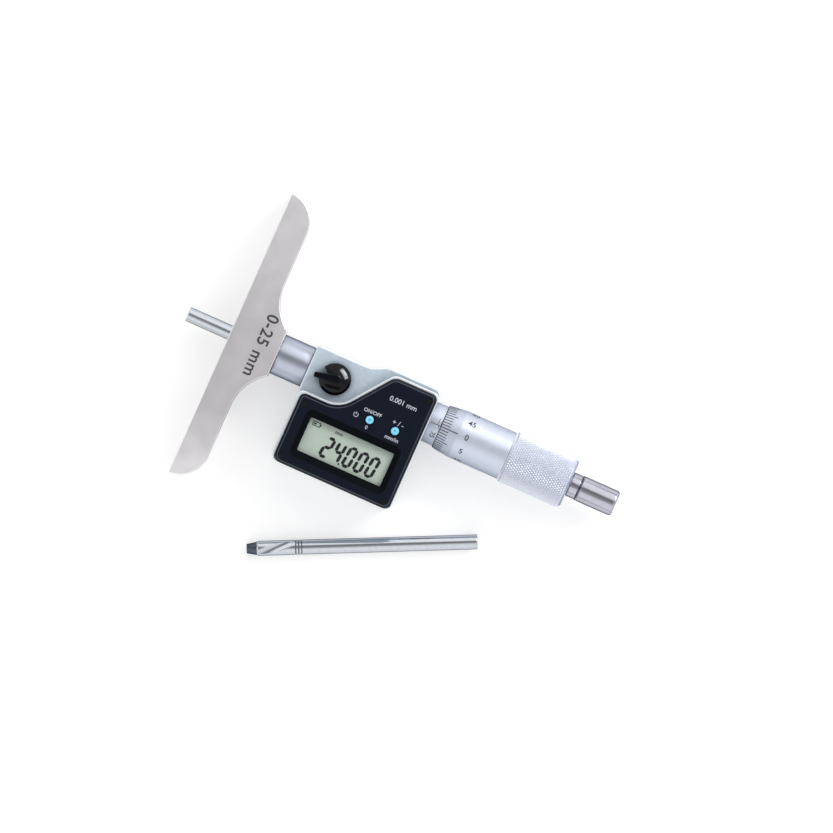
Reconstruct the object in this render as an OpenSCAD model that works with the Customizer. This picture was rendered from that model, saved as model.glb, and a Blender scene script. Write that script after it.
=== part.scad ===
// Digital depth micrometer with exchangeable measuring rods.
// X runs along the spindle axis, from the measuring face of the base towards the ratchet knob.
// Y runs along the base and Z points out of the display. The origin is where the spindle axis
// crosses the measuring face. The gauge lies on the flat back of its housing, as it does on a bench.

/* [Base] */
// Length of the measuring face
base_len = 101.6; // [90:0.1:120]
// Depth of the base, front to back
base_depth = 17; // [16:0.5:22]
// Height of each arm above the measuring face
base_arm_h = 10; // [8:0.1:12]
// Distance from the measuring face to the end of the hub
base_hub_h = 17.3; // [16:0.1:24]
// Width of the hub at its end
base_hub_w = 16.2; // [15:0.1:20]
// Radius of the hollow that blends an arm into the hub
base_hollow_r = 17; // [12:0.1:20]
// Radius that rounds the outer end of each arm
base_end_r = 10.2; // [10.1:0.1:14]
// Length of the hardened bush at the measuring face
guide_bush_len = 3.5; // [2.5:0.1:5]
// Outer diameter of that bush
guide_bush_d = 10; // [8:0.1:11]

/* [Measuring rods] */
// Diameter of a measuring rod
rod_d = 5; // [4:0.1:5.6]
// Length of the rod that is fitted, end to end
rod_len = 52; // [48:0.5:54]
// Length of the spare rod, one range longer
spare_rod_len = 77; // [60:0.5:100]
// How far the fitted rod stands out of the measuring face
rod_reach = 15.4; // [13:0.1:17]
// Length of the black seating cone
cone_len = 3.4; // [2:0.1:5]
// Diameter of the cone at its small end
cone_tip_d = 3.2; // [2.6:0.1:3.6]
// Diameter of the cone where it meets the rod
cone_base_d = 4.5; // [4:0.1:4.6]
// Distance from the cone's tip to the first ring groove
ring_start = 16.2; // [14:0.1:20]
// Spacing of the ring grooves
ring_pitch = 1; // [0.7:0.1:1.4]
// Number of ring grooves
ring_count = 3; // [2:1:5]
// Width of a ring groove
ring_w = 0.35; // [0.2:0.05:0.5]
// Depth of a ring groove
ring_depth = 0.15; // [0.1:0.05:0.3]
// Diameter of the cutter that makes the slanting catch groove
catch_d = 2.6; // [2:0.1:3]
// Depth of the catch groove
catch_depth = 0.9; // [0.5:0.1:1.1]
// Slant of the catch groove to the rod
catch_slant = 24; // [18:1:32]
// Distance from the cone's tip to the middle of the catch groove
catch_at = 8.4; // [7.5:0.1:10]
// Diameter of the lapped face at the measuring end
rod_face_d = 4.4; // [3.4:0.1:4.6]
// Where the spare rod's cone tip lies, along the spindle axis
spare_x = 34.15; // [20:0.05:50]
// Where the spare rod's cone tip lies, across the spindle axis
spare_y = -63.6; // [-90:0.1:-60]
// Angle of the spare rod to the spindle axis
spare_angle = 25.7; // [10:0.1:26]

/* [Spindle] */
// Diameter of the spindle
spindle_d = 8; // [7.4:0.1:8.2]
// Distance from the measuring face to the spindle's nose
spindle_nose_x = 5; // [4.8:0.1:6]
// Travel that is left towards the work
travel_out = 1; // [0.5:0.1:1.2]
// Travel back from the place shown
travel_back = 24; // [20:0.5:24.5]
// Diameter of the spindle's fine thread
thread_d = 7.7; // [7:0.1:7.8]
// Width of the keyway that turns the encoder
keyway_w = 1.3; // [1:0.1:1.6]
// Depth of the keyway
keyway_depth = 1; // [0.7:0.1:1.2]

/* [Connecting tube] */
// Outer diameter of the tube between base and frame
tube_d = 14; // [13:0.1:15]
// Diameter of the tube's spigots
tube_spigot_d = 12; // [11.6:0.1:12.4]
// Length of the spigot in the frame
tube_spigot_len = 5.2; // [4:0.1:5.4]
// Outer diameter of the bearing bushes
bearing_d = 10.4; // [9.6:0.1:10.8]
// Length of the front bearing bush
front_bearing_len = 2.6; // [2:0.1:2.6]
// Length of the wiper seal
wiper_len = 1.5; // [1:0.1:1.5]

/* [Frame casting] */
// Where the frame's nose begins
frame_x = 28.4; // [27:0.1:30]
// Where the frame ends, at the graduated sleeve
frame_end_x = 72.5; // [72.4:0.1:75]
// Distance from the axis to the upper edge of the nose
nose_top = 8.2; // [7.8:0.1:9]
// Distance from the axis to the lower edge of the nose
nose_bottom = 8.6; // [8.5:0.1:9]
// Distance from the axis to the flat front of the frame, and to the back of the nose
nose_half = 8.3; // [8:0.1:9]
// Distance from the axis to the back that the gauge lies on
back_z = 9.3; // [9.2:0.1:11]
// Distance from the axis to the upper edge behind the display
shoulder_top = 10.85; // [10.6:0.05:12]
// Where the upper edge starts to rise
shoulder_start_x = 47.6; // [46:0.1:49]
// Where the upper edge has risen
shoulder_end_x = 53; // [52:0.1:55]
// Thickness of the housing's walls
wall = 1.9; // [1.5:0.1:2.1]
// Thickness of the housing's back
back_wall = 1.7; // [1.4:0.1:2]
// Height of the lip round the cover
lip_h = 1.1; // [0.6:0.1:1.6]
// Width of the lip
lip_w = 0.9; // [0.5:0.1:1.1]
// Bevel along the edges of the casting
frame_bevel = 0.5; // [0.2:0.1:0.7]

/* [Front cover] */
// Left edge of the cover
cover_left = 29.9; // [29.6:0.1:31]
// Right edge of the cover
cover_right = 72; // [71.4:0.1:72]
// Lower edge of the cover
cover_bottom = -32.75; // [-35:0.05:-32.5]
// Upper edge of the cover, over the spindle
cover_top = 8.6; // [8.2:0.1:9]
// Upper edge of the cover, under the lock lever
cover_step = -8.4; // [-9:0.1:-8.2]
// Where the slanting edge meets the upper edge
slant_top_x = 56.4; // [55.5:0.1:58]
// Where the slanting edge meets the step
slant_bottom_x = 43.5; // [42.5:0.1:44.5]
// Distance from the axis to the front of the cover
cover_z = 12.3; // [12:0.1:13.5]
// Thickness of the cover's walls
cover_wall = 1.5; // [1.2:0.1:1.7]
// Bevel along the cover's front edge
cover_bevel = 0.8; // [0.4:0.1:1]
// Thickness of the gasket under the cover
gasket_t = 0.3; // [0.2:0.05:0.4]

/* [Display] */
// Middle of the display along the spindle axis
display_x = 51.2; // [50.5:0.1:52]
// Middle of the display across the spindle axis
display_y = -20.6; // [-21:0.1:-20]
// Width of the display that shows
display_w = 30.5; // [28:0.1:31]
// Height of the display that shows
display_h = 12.3; // [11:0.1:12.8]
// Width of the sunken surround
surround_w = 34.2; // [33.6:0.1:35]
// Height of the sunken surround
surround_h = 17; // [15.6:0.1:17.4]
// Depth of the sunken surround
surround_depth = 0.9; // [0.5:0.1:1]
// Thickness of the window
window_t = 1; // [0.6:0.1:1.2]
// Thickness of the display glass
lcd_t = 2; // [1.6:0.1:2.4]
// Overlap of the window and the display glass behind the surround
window_margin = 1; // [0.6:0.1:1.2]

/* [Buttons] */
// Diameter of a button
button_d = 2.7; // [2.2:0.1:3]
// Height of a button above the cover
button_proud = 0.35; // [0.1:0.05:0.6]
// Travel of a button
button_travel = 0.4; // [0.2:0.05:0.5]
// Left button, along the spindle axis
button_a_x = 54.2; // [53.6:0.1:55]
// Right button, along the spindle axis
button_b_x = 63.4; // [62.4:0.1:64.4]
// Both buttons, across the spindle axis
button_y = -7.65; // [-8.4:0.05:-7]

/* [Lock lever] */
// Where the lever turns, along the spindle axis
lock_x = 38.2; // [37.6:0.1:38.6]
// Diameter of the lever's round knob
knob_d = 10.7; // [9:0.1:11.4]
// Distance from the turning axis to the lever's tip
lever_reach = 7.2; // [6.4:0.1:8]
// Angle of the lever to the spindle axis
lever_angle = 189.7; // [180:0.1:200]
// Diameter of the lock screw
lock_screw_d = 3.8; // [3:0.1:4.4]
// Length of the clamp ring
clamp_len = 8; // [6:0.1:8.4]

/* [Encoder] */
// Where the encoder's fixed plate stands, along the spindle axis
stator_x = 57; // [56:0.1:57.2]
// Distance from the axis to the fixed plate's upper edge
stator_top = 6; // [5.4:0.1:6.1]
// Distance from the axis to the fixed plate's lower edge
stator_bottom = 7; // [6:0.1:7.4]
// Radius of the encoder's rotor
rotor_r = 6.3; // [5.8:0.1:6.3]
// Radius of the rotor's hub
hub_r = 5.4; // [5.2:0.1:5.8]
// Length of the rotor's hub
hub_len = 5.7; // [5:0.1:6]

/* [Sleeve and thimble] */
// Length of the nut thread in the inner sleeve
nut_len = 16; // [14:0.1:17]
// Length of the adjusting nut on it
adjuster_len = 4.5; // [4:0.1:5]
// Outer diameter of the graduated sleeve
sleeve_d = 14.1; // [13.8:0.1:14.4]
// Thickness of the graduated sleeve
sleeve_t = 0.7; // [0.5:0.05:0.9]
// Where the thimble's front edge stands
thimble_x = 76.6; // [75.6:0.1:77]
// Diameter of the thimble's front edge
thimble_edge_d = 15.1; // [14.9:0.1:15.6]
// Diameter of the thimble's smooth part
thimble_d = 16.7; // [16.2:0.1:17.4]
// Length of the graduated taper
taper_len = 6.4; // [5:0.1:8]
// Distance from the front edge to the grip
grip_from = 24.7; // [23:0.1:26]
// Diameter of the knurled grip
grip_d = 17.9; // [17.6:0.1:18.4]
// Length of the thimble, end to end
thimble_len = 47.1; // [46.5:0.1:50]
// Radius that rounds the end of the grip
grip_end_r = 1.7; // [1:0.1:2]

/* [Ratchet] */
// Diameter of the ratchet's neck
neck_d = 8.4; // [8:0.1:9]
// Length of the neck
neck_len = 3.2; // [2.4:0.1:4]
// Diameter of the ratchet knob
ratchet_d = 8.8; // [8.4:0.1:9.4]
// Length of the ratchet knob
ratchet_len = 12.8; // [12:0.1:15]
// Number of ratchet teeth
tooth_count = 16; // [10:1:20]
// Depth of a ratchet tooth
tooth_depth = 0.5; // [0.3:0.1:0.6]

/* [Battery] */
// Middle of the battery along the spindle axis
battery_x = 51; // [50:0.1:53]
// Middle of the battery across the spindle axis
battery_y = -21.5; // [-22:0.1:-20.5]
// Diameter of the button cell
battery_d = 11.6; // [11:0.1:11.8]
// Height of the button cell
battery_h = 5.4; // [5:0.1:5.4]
// Diameter of the battery cap's rim
cap_d = 15; // [14.4:0.1:16]
// Thickness of the battery cap's rim
cap_t = 1.2; // [1:0.1:1.4]

/* [Fits] */
// Radial clearance of a running fit
running = 0.05; // [0.03:0.01:0.08]
// Clearance between pieces that are fixed together
seated = 0.02; // [0.01:0.01:0.03]
// Gap between a moving piece and what it passes
passing = 0.15; // [0.1:0.05:0.2]

/* [Hidden] */
$fn = 96;
eps = 0.01;
through = 60;

rod_r = rod_d / 2;
spindle_r = spindle_d / 2;
bearing_r = bearing_d / 2;
spigot_r = tube_spigot_d / 2;
spindle_bore_r = spindle_r + 6 * running;

// The fitted rod ends in its cone, deep in the hollow spindle.
rod_end_x = rod_len - rod_reach;
socket_gap = 0.1;

// Along the connecting tube, from the measuring face
tube_from_x = guide_bush_len + 0.2;
tube_end_x = frame_x + tube_spigot_len;
front_bearing_x = tube_end_x - front_bearing_len;
wiper_x = front_bearing_x - 0.1 - wiper_len;

// Along the frame's bore
clamp_from_x = tube_end_x + 0.4;
clamp_end_x = clamp_from_x + clamp_len;
pocket_end_x = clamp_end_x + 0.2;
frame_bearing_len = 6.5;

// The encoder round the spindle, inside the housing
stator_t = 1;
rotor_x = stator_x + stator_t + 0.5;
rotor_t = 0.8;
hub_x = rotor_x + rotor_t;
key_x = hub_x + hub_len - 2;
keyway_from_x = key_x - travel_back - 1;
keyway_to_x = key_x + travel_out + 1;

// The inner sleeve that holds the nut thread
inner_x = hub_x + hub_len + 1;
inner_r = sleeve_d / 2 - sleeve_t - seated;
nut_x = inner_x + 26;
inner_end_x = nut_x + nut_len;
adjuster_x = inner_end_x - adjuster_len - 0.8;
adjuster_seat_r = inner_r - 0.9;
thread_from_x = nut_x - travel_back - 0.5;
sleeve_end_x = thimble_x + travel_back + 1.4;

// The thimble and what clamps it to the spindle
bore_r = sleeve_d / 2 + passing;
cavity_end_x = inner_end_x + travel_out + 3;
thimble_end_x = thimble_x + thimble_len;
seat_len = 5.5;
seat_large_r = spindle_r - 0.5;
seat_small_r = seat_large_r - 0.7;
seat_end_x = cavity_end_x + seat_len;
stem_r = seat_small_r;
stud_r = 1.7;
stud_len = 5;

// The ratchet
neck_x = thimble_end_x + 0.1;
ring_x = neck_x + neck_len + 0.05;
ring_t = 0.4;
knob_x = ring_x + ring_t + 0.1;
knob_end_x = knob_x + ratchet_len;
arbor_r = 1.6;
shoulder_r = arbor_r + 0.8;
ring_bore_r = shoulder_r + seated;
ratchet_r = ratchet_d / 2;
ratchet_bore_r = ratchet_r - 1;
wheel_x = knob_x + 0.7;
wheel_t = 1.6;
clutch_t = 1.4;
clutch_x = wheel_x + wheel_t + 0.15;
spring_x = clutch_x + clutch_t + 0.1;
web_x = knob_x + 7.2;
web_t = 1.2;
screw_head_x = web_x + web_t + 0.1;
screw_head_t = 1.2;
arbor_end_x = screw_head_x;
end_cap_t = 1.3;

// The housing, front to back
front_z = nose_half;
cover_from_z = front_z + gasket_t + 2 * seated;
roof_z = cover_z - cover_wall;
floor_z = -back_z + back_wall;
slant = atan2(cover_top - cover_step, slant_top_x - slant_bottom_x);
window_z = cover_z - surround_depth - window_t - 0.05;
lcd_z = window_z - lcd_t - 0.3;
board_t = 1;
board_z = 1.2;
board_top = board_z + board_t;
boss_r = 1.9;

// The four cover screws, in from the corners of the cover
screw_inset = 2.3;
screw_places = [
    [cover_left + screw_inset + 0.2, cover_bottom + screw_inset],
    [cover_right - screw_inset, cover_bottom + screw_inset],
    [cover_left + screw_inset + 0.2, cover_step - screw_inset - 0.9],
    [cover_right - screw_inset, cover_top - screw_inset - 0.3]
];
screw_r = 0.7;
screw_depth = 4.5;
screw_head_r = 0.95;

// The battery and its cap, from the back
cap_z = -back_z + 0.1;
skirt_r = battery_d / 2 + 0.75;
skirt_len = 1.4;
battery_z = cap_z + cap_t + skirt_len + 0.15;
well_r = skirt_r + passing;
well_wall = 1.4;
well_top_z = battery_z + battery_h - 1;

// Every piece, one name each

// Points and outlines

function unit(v) = v / norm(v);

// An angle brought to between -180 and 180 degrees
function short_turn(a) = a > 180 ? a - 360 : a < -180 ? a + 360 : a;

// The arc that rounds one corner of an outline, where a corner is [x, y, radius]
function corner_arc(before, at, after, steps) =
    let (
        p = [at[0], at[1]],
        u = unit([before[0], before[1]] - p),
        v = unit([after[0], after[1]] - p),
        half = acos(u * v) / 2,
        centre = p + unit(u + v) * at[2] / sin(half),
        start = p + u * at[2] / tan(half) - centre,
        finish = p + v * at[2] / tan(half) - centre,
        from = atan2(start[1], start[0]),
        turn = short_turn(atan2(finish[1], finish[0]) - from)
    )
    [for (i = [0 : steps])
        let (a = from + turn * i / steps)
        centre + at[2] * [cos(a), sin(a)]];

// A closed outline with every corner rounded
function rounded(corners, steps = 6) =
    let (n = len(corners))
    [for (i = [0 : n - 1])
        each corner_arc(corners[(i + n - 1) % n], corners[i], corners[(i + 1) % n], steps)];

// The same outline drawn in by d. Corners run anticlockwise, so outer radii shrink and hollow ones grow.
function drawn_in(corners, d) =
    let (n = len(corners))
    [for (i = [0 : n - 1])
        let (
            b = corners[(i + n - 1) % n],
            a = corners[i],
            c = corners[(i + 1) % n],
            u = unit([a[0] - b[0], a[1] - b[1]]),
            v = unit([c[0] - a[0], c[1] - a[1]]),
            turn = u[0] * v[1] - u[1] * v[0],
            inward = [-u[1], u[0]] + [-v[1], v[0]],
            p = [a[0], a[1]] + inward * d / (1 + u * v)
        )
        [p[0], p[1], turn > 0 ? max(a[2] - d, 0.05) : a[2] + d]];

// A slab of an outline from z0 to z1 with bevelled edges. middle is a point that sees the whole outline.
module bevelled_slab(corners, z0, z1, low, high, middle) {
    full = rounded(corners);
    n = len(full);
    layers = [
        for (p = rounded(drawn_in(corners, low))) [p[0], p[1], z0],
        for (p = full) [p[0], p[1], z0 + low],
        for (p = full) [p[0], p[1], z1 - high],
        for (p = rounded(drawn_in(corners, high))) [p[0], p[1], z1],
        [middle[0], middle[1], z0],
        [middle[0], middle[1], z1]
    ];
    sides = [for (k = [0 : 2], i = [0 : n - 1])
        let (j = (i + 1) % n, a = k * n)
        each [[a + i, a + n + i, a + n + j], [a + i, a + n + j, a + j]]];
    caps = [for (i = [0 : n - 1])
        let (j = (i + 1) % n)
        each [[4 * n, i, j], [4 * n + 1, 3 * n + j, 3 * n + i]]];
    polyhedron(points = layers, faces = concat(sides, caps), convexity = 6);
}

// A body of revolution about the X axis, from [radius, x] points
module turned(profile) {
    rotate([0, 90, 0]) rotate_extrude() polygon(profile);
}

// A ring or tube about the X axis
module ring(x, length, outer, inner) {
    turned([[inner, x], [outer, x], [outer, x + length], [inner, x + length]]);
}

// A round bar along X
module bar(x, length, r) {
    translate([x, 0, 0]) rotate([0, 90, 0]) cylinder(r = r, h = length);
}

// An upright post or hole
module post(x, y, z0, z1, r) {
    translate([x, y, z0]) cylinder(r = r, h = z1 - z0);
}

// A rounded plate, given by its middle
module plate(x, y, w, h, z0, z1, r) {
    corners = [
        [x - w / 2, y - h / 2, r], [x + w / 2, y - h / 2, r],
        [x + w / 2, y + h / 2, r], [x - w / 2, y + h / 2, r]
    ];
    translate([0, 0, z0]) linear_extrude(z1 - z0) polygon(rounded(corners, 4));
}

// The corners of the front cover, grown by a margin on each side
function cover_corners(left = 0, right = 0, bottom = 0, top = 0) =
    let (shift = top * tan(slant / 2))
    [
        [cover_left - left, cover_bottom - bottom, 3],
        [cover_right + right, cover_bottom - bottom, 2.6],
        [cover_right + right, cover_top + top, 2.2],
        [slant_top_x - shift, cover_top + top, 4],
        [slant_bottom_x - shift, cover_step + top, 10 - top],
        [cover_left - left, cover_step + top, 1.8]
    ];

// A point in the housing that sees every edge of the cover
cover_middle = [60, -15];

// Base

function base_profile() =
    let (
        half = base_len / 2,
        end_y = half - sqrt(pow(base_end_r, 2) - pow(base_end_r - base_arm_h, 2)),
        end_from = acos((base_end_r - base_arm_h) / base_end_r),
        rise = base_hub_h - base_arm_h,
        reach = sqrt(pow(base_hollow_r, 2) - pow(base_hollow_r - rise, 2)),
        hollow_y = base_hub_w / 2 + reach,
        hollow_turn = acos((base_hollow_r - rise) / base_hollow_r)
    )
    [
        [0, half],
        for (i = [0 : 10])
            let (a = (180 - end_from) * (1 - i / 10))
            if (i > 0) [base_arm_h - base_end_r + base_end_r * cos(a * end_from / (180 - end_from)),
                end_y + base_end_r * sin(a * end_from / (180 - end_from))],
        for (i = [0 : 10])
            [base_arm_h + base_hollow_r - base_hollow_r * cos(hollow_turn * i / 10),
                hollow_y - base_hollow_r * sin(hollow_turn * i / 10)]
    ];

module base_half() {
    linear_extrude(base_depth, center = true)
        polygon(concat(base_profile(), [[base_hub_h, 0], [0, 0]]));
}

module base() {
    color([0.76, 0.75, 0.76]) difference() {
        union() {
            base_half();
            mirror([0, 1, 0]) base_half();
        }
        bar(-1, guide_bush_len + 2, guide_bush_d / 2);
        bar(guide_bush_len, base_hub_h, spigot_r);
        for (side = [-1, 1]) at_base_screw(side)
            translate([0, 0, -base_depth]) cylinder(r = base_screw_r, h = base_depth - spigot_r);
    }
}

// Two set screws stand in the back of the hub, one to each side, and press on the tube
base_screw_x = base_hub_h - 4.3;
base_screw_r = 1.5;
base_screw_len = base_depth / 2 - spigot_r;

module at_base_screw(side) {
    translate([base_screw_x, 0, 0]) rotate([side * 35, 0, 0]) children();
}

module guide_bush() {
    color([0.62, 0.63, 0.65])
        ring(0.02, guide_bush_len - 0.02, guide_bush_d / 2 - seated, rod_r + running);
}

module base_set_screws() {
    socket_r = 0.8;
    socket_depth = 1.2;
    color([0.2, 0.2, 0.22]) for (side = [-1, 1]) at_base_screw(side)
        translate([0, 0, -spigot_r - 0.1 - base_screw_len]) difference() {
            cylinder(r = base_screw_r - seated, h = base_screw_len);
            translate([0, 0, -eps]) cylinder(r = socket_r, h = socket_depth, $fn = 6);
        }
}

// Connecting tube and spindle bearings

module connecting_tube() {
    color([0.78, 0.79, 0.83]) turned([
        [spindle_bore_r, tube_from_x], [spigot_r - seated, tube_from_x],
        [spigot_r - seated, base_hub_h + seated], [tube_d / 2, base_hub_h + seated],
        [tube_d / 2, frame_x - seated], [spigot_r - seated, frame_x - seated],
        [spigot_r - seated, tube_end_x], [bearing_r, tube_end_x],
        [bearing_r, wiper_x - seated], [spindle_bore_r, wiper_x - seated]
    ]);
}

module front_bearing_bush() {
    color([0.72, 0.55, 0.3])
        ring(front_bearing_x, front_bearing_len, bearing_r - seated, spindle_r + running);
}

module wiper_seal() {
    color([0.1, 0.1, 0.1])
        ring(wiper_x, wiper_len, bearing_r - seated, spindle_r + running);
}

module frame_bearing_bush() {
    color([0.72, 0.55, 0.3])
        ring(pocket_end_x + 0.3, frame_bearing_len - 0.5, bearing_r - seated, spindle_r + running);
}

// Frame casting: a nose that carries the tube and the lock, and a tray for the electronics

nose_corners = [
    [frame_x, -nose_bottom, 0.8], [frame_end_x, -nose_bottom, 0.8], [frame_end_x, shoulder_top, 2],
    [shoulder_end_x, shoulder_top, 5], [shoulder_start_x, nose_top, 6], [frame_x, nose_top, 0.8]
];
housing_corners = cover_corners(lip_w + 0.1, frame_end_x - cover_right, 0, lip_w);
tray_corners = drawn_in(cover_corners(), wall);

module battery_well() {
    post(battery_x, battery_y, floor_z - eps, well_top_z, well_r + well_wall);
}

module screw_bosses() {
    intersection() {
        for (p = screw_places) post(p[0], p[1], floor_z - eps, front_z, boss_r);
        translate([0, 0, -back_z]) linear_extrude(2 * back_z) polygon(rounded(cover_corners()));
    }
}

// The boss in the right wall that holds the inner sleeve
module sleeve_boss() {
    bar(inner_x + 0.5, frame_end_x - inner_x - 2, inner_r + 1.5);
}

board_posts = [[33, -25.4], [69.1, -25.4], [33, -16.6], [69.1, -15]];
board_screw_r = 0.5;
board_screw_depth = 2.5;

module frame_casting() {
    color([0.74, 0.78, 0.8]) difference() {
        union() {
            difference() {
                union() {
                    bevelled_slab(nose_corners, -nose_half, front_z, frame_bevel, frame_bevel, [60, 0]);
                    bevelled_slab(housing_corners, -back_z, front_z + lip_h, 0.8, 0.4, cover_middle);
                }
                // seat of the cover
                translate([0, 0, front_z]) linear_extrude(through)
                    polygon(rounded(cover_corners(0.12, 0.12, 1, 0.12)));
                // tray
                translate([0, 0, floor_z]) linear_extrude(through) polygon(rounded(tray_corners));
            }
            battery_well();
            screw_bosses();
            sleeve_boss();
            for (p = board_posts) post(p[0], p[1], floor_z - eps, board_z - seated, 1);
        }
        // bore for the tube and the clamp ring, then the bearing, then the inner sleeve
        bar(frame_x - 1, pocket_end_x - frame_x + 1, spigot_r);
        bar(frame_x, through, spindle_bore_r);
        bar(pocket_end_x, frame_bearing_len + 3, bearing_r);
        bar(inner_x, frame_end_x - inner_x + 1, inner_r);
        // lock screw
        post(lock_x, 0, 0, through, lock_screw_d / 2 + running);
        // cover screws and board screws
        for (p = screw_places) post(p[0], p[1], front_z - screw_depth - 0.5, through, screw_r);
        for (p = board_posts)
            post(p[0], p[1], board_z - board_screw_depth - 0.5, board_z + 1, board_screw_r);
        // battery cap
        post(battery_x, battery_y, -back_z - 1, cap_z + cap_t + 0.1, cap_d / 2 + passing);
        post(battery_x, battery_y, -back_z, through, well_r);
        post(battery_x, battery_y, lug_z - 0.1, lug_z + lug_t + 0.1, lug_r + 0.2);
        translate([battery_x, battery_y, -back_z]) intersection() {
            cylinder(r = lug_r + 0.2, h = lug_z + lug_t + back_z);
            translate([-lug_w / 2 - 0.4, -well_r * 2, 0]) cube([lug_w + 0.8, well_r * 4, 9]);
        }
    }
}

// Lock: the lever turns a screw that presses on a split clamp ring

clamp_flat_z = spigot_r - 0.8;
lock_seat_h = 1.4;
lock_stud_r = 1.3;
lock_stud_h = 1;

module clamp_ring() {
    color([0.55, 0.5, 0.4]) difference() {
        ring(clamp_from_x, clamp_len, spigot_r - running, spindle_r + running);
        translate([clamp_from_x - 1, -spigot_r, clamp_flat_z]) cube([clamp_len + 2, 2 * spigot_r, 2]);
        translate([clamp_from_x - 1, -0.4, -spigot_r - 1]) cube([clamp_len + 2, 0.8, 4]);
    }
}

module lock_screw() {
    color([0.6, 0.6, 0.62]) translate([lock_x, 0, clamp_flat_z + 0.1]) {
        cylinder(r = lock_screw_d / 2, h = knob_z + lock_seat_h - passing - clamp_flat_z);
        translate([0, 0, knob_z + lock_seat_h - passing - clamp_flat_z - eps])
            cylinder(r = lock_stud_r, h = lock_stud_h);
    }
}

knob_z = front_z + passing;
knob_side_h = 1.3;
dome_h = 1.9;

// Half the outline of the domed knob: straight side, then an arc up to the crown
function dome_profile(r) =
    let (
        sphere_r = (r * r + dome_h * dome_h) / (2 * dome_h),
        sweep = asin(r / sphere_r)
    )
    concat(
        [[0, 0], [r - 0.3, 0], [r, 0.3]],
        [for (i = [0 : 8]) [sphere_r * sin(sweep * (1 - i / 8)),
            knob_side_h + dome_h - sphere_r + sphere_r * cos(sweep * (1 - i / 8))]]
    );

// The finger fin: wide over the middle of the knob, narrow at its tip, with bevelled upper edges
fin_tip_r = 1.05;
fin_root_r = 1.75;
fin_root_x = -1.6;
fin_z = 0.9;
fin_h = 2.9;

module lever_fin() {
    tip_x = lever_reach - fin_tip_r;
    hull() {
        translate([tip_x, 0, fin_z]) cylinder(r = fin_tip_r, h = fin_h - 0.2, $fn = 32);
        translate([tip_x, 0, fin_z - 0.2]) cylinder(r = fin_tip_r - 0.25, h = fin_h + 0.2, $fn = 32);
        translate([fin_root_x, 0, fin_z]) cylinder(r = fin_root_r, h = fin_h, $fn = 32);
        translate([fin_root_x, 0, fin_z]) cylinder(r = fin_root_r - 0.3, h = fin_h + 0.3, $fn = 32);
    }
}

// Two finger hollows, one to each side of the fin
module lever_hollows() {
    side_y = knob_d / 2 - 2.8;
    translate([0, 0, knob_side_h]) linear_extrude(through)
        polygon(rounded([
            [-3.7, fin_root_r + 0.3, 0.4], [3.6, fin_root_r + 0.3, 0.4],
            [2.4, side_y + 0.9, 1], [-1.8, side_y + 1, 1]
        ], 3));
    translate([0, 0, -eps]) linear_extrude(through)
        polygon(rounded([
            [3.4, -1.35, 0.3], [4.2, -3.4, 0.4], [knob_d / 2 + 3, -5, 0.2], [knob_d / 2 + 3, -1.3, 0.2]
        ], 3));
}

module lock_lever() {
    color([0.04, 0.04, 0.05]) translate([lock_x, 0, knob_z]) difference() {
        union() {
            rotate([0, 0, lever_angle]) {
                difference() {
                    rotate_extrude() polygon(dome_profile(knob_d / 2));
                    lever_hollows();
                }
                lever_fin();
            }
        }
        translate([0, 0, -eps]) cylinder(r = lock_screw_d / 2 + seated, h = lock_seat_h + eps);
        cylinder(r = lock_stud_r + seated, h = lock_seat_h + lock_stud_h + 0.05);
    }
}

// Inner sleeve, graduated sleeve and adjusting nut

module inner_sleeve() {
    slit_w = 0.6;
    color([0.7, 0.71, 0.74]) difference() {
        turned([
            [spindle_bore_r, inner_x], [inner_r - seated, inner_x], [inner_r - seated, adjuster_x],
            [adjuster_seat_r, adjuster_x], [adjuster_seat_r, inner_end_x],
            [thread_d / 2 + running, inner_end_x], [thread_d / 2 + running, nut_x], [spindle_bore_r, nut_x]
        ]);
        // three slits let the adjusting nut close the thread
        for (a = [0 : 120 : 240]) rotate([a, 0, 0])
            translate([nut_x + 6, 0, -slit_w / 2]) cube([nut_len, spigot_r * 2, slit_w]);
    }
}

module graduated_sleeve() {
    color([0.82, 0.83, 0.87]) ring(frame_end_x + seated, sleeve_end_x - frame_end_x, sleeve_d / 2, inner_r);
}

module adjusting_nut() {
    color([0.5, 0.5, 0.52]) difference() {
        ring(adjuster_x + 0.1, adjuster_len, sleeve_d / 2 - 0.1, adjuster_seat_r + seated);
        // spanner notches
        for (a = [45, 135]) rotate([a, 0, 0])
            translate([adjuster_x + adjuster_len - 1, -sleeve_d, -0.7]) cube([2, 2 * sleeve_d, 1.4]);
    }
}

// Encoder

encoder_bore_r = spindle_r + 0.6;

// The fixed plate stands on the floor of the tray, square across the spindle
module encoder_stator() {
    from_z = floor_z + seated;
    color([0.1, 0.35, 0.2]) difference() {
        translate([stator_x, -stator_bottom, from_z])
            cube([stator_t, stator_bottom + stator_top, rotor_r + 0.5 - from_z]);
        bar(stator_x - eps, stator_t + 2 * eps, encoder_bore_r);
    }
}

// A flat ribbon leads from the fixed plate down and across to the main board
module stator_ribbon() {
    ribbon_w = 4;
    ribbon_t = 0.2;
    ribbon_y = -stator_bottom - 1.6;
    ribbon_from_z = -2;
    color([0.7, 0.45, 0.15]) {
        translate([stator_x - ribbon_t - seated, ribbon_y, ribbon_from_z])
            cube([ribbon_t, ribbon_w, board_top + seated + ribbon_t - ribbon_from_z]);
        translate([stator_x - ribbon_w, ribbon_y - 3.6, board_top + seated])
            cube([ribbon_w - seated, ribbon_w - ribbon_t, ribbon_t]);
    }
}

module encoder_rotor() {
    color([0.1, 0.35, 0.2]) ring(rotor_x, rotor_t, rotor_r, encoder_bore_r);
}

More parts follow.
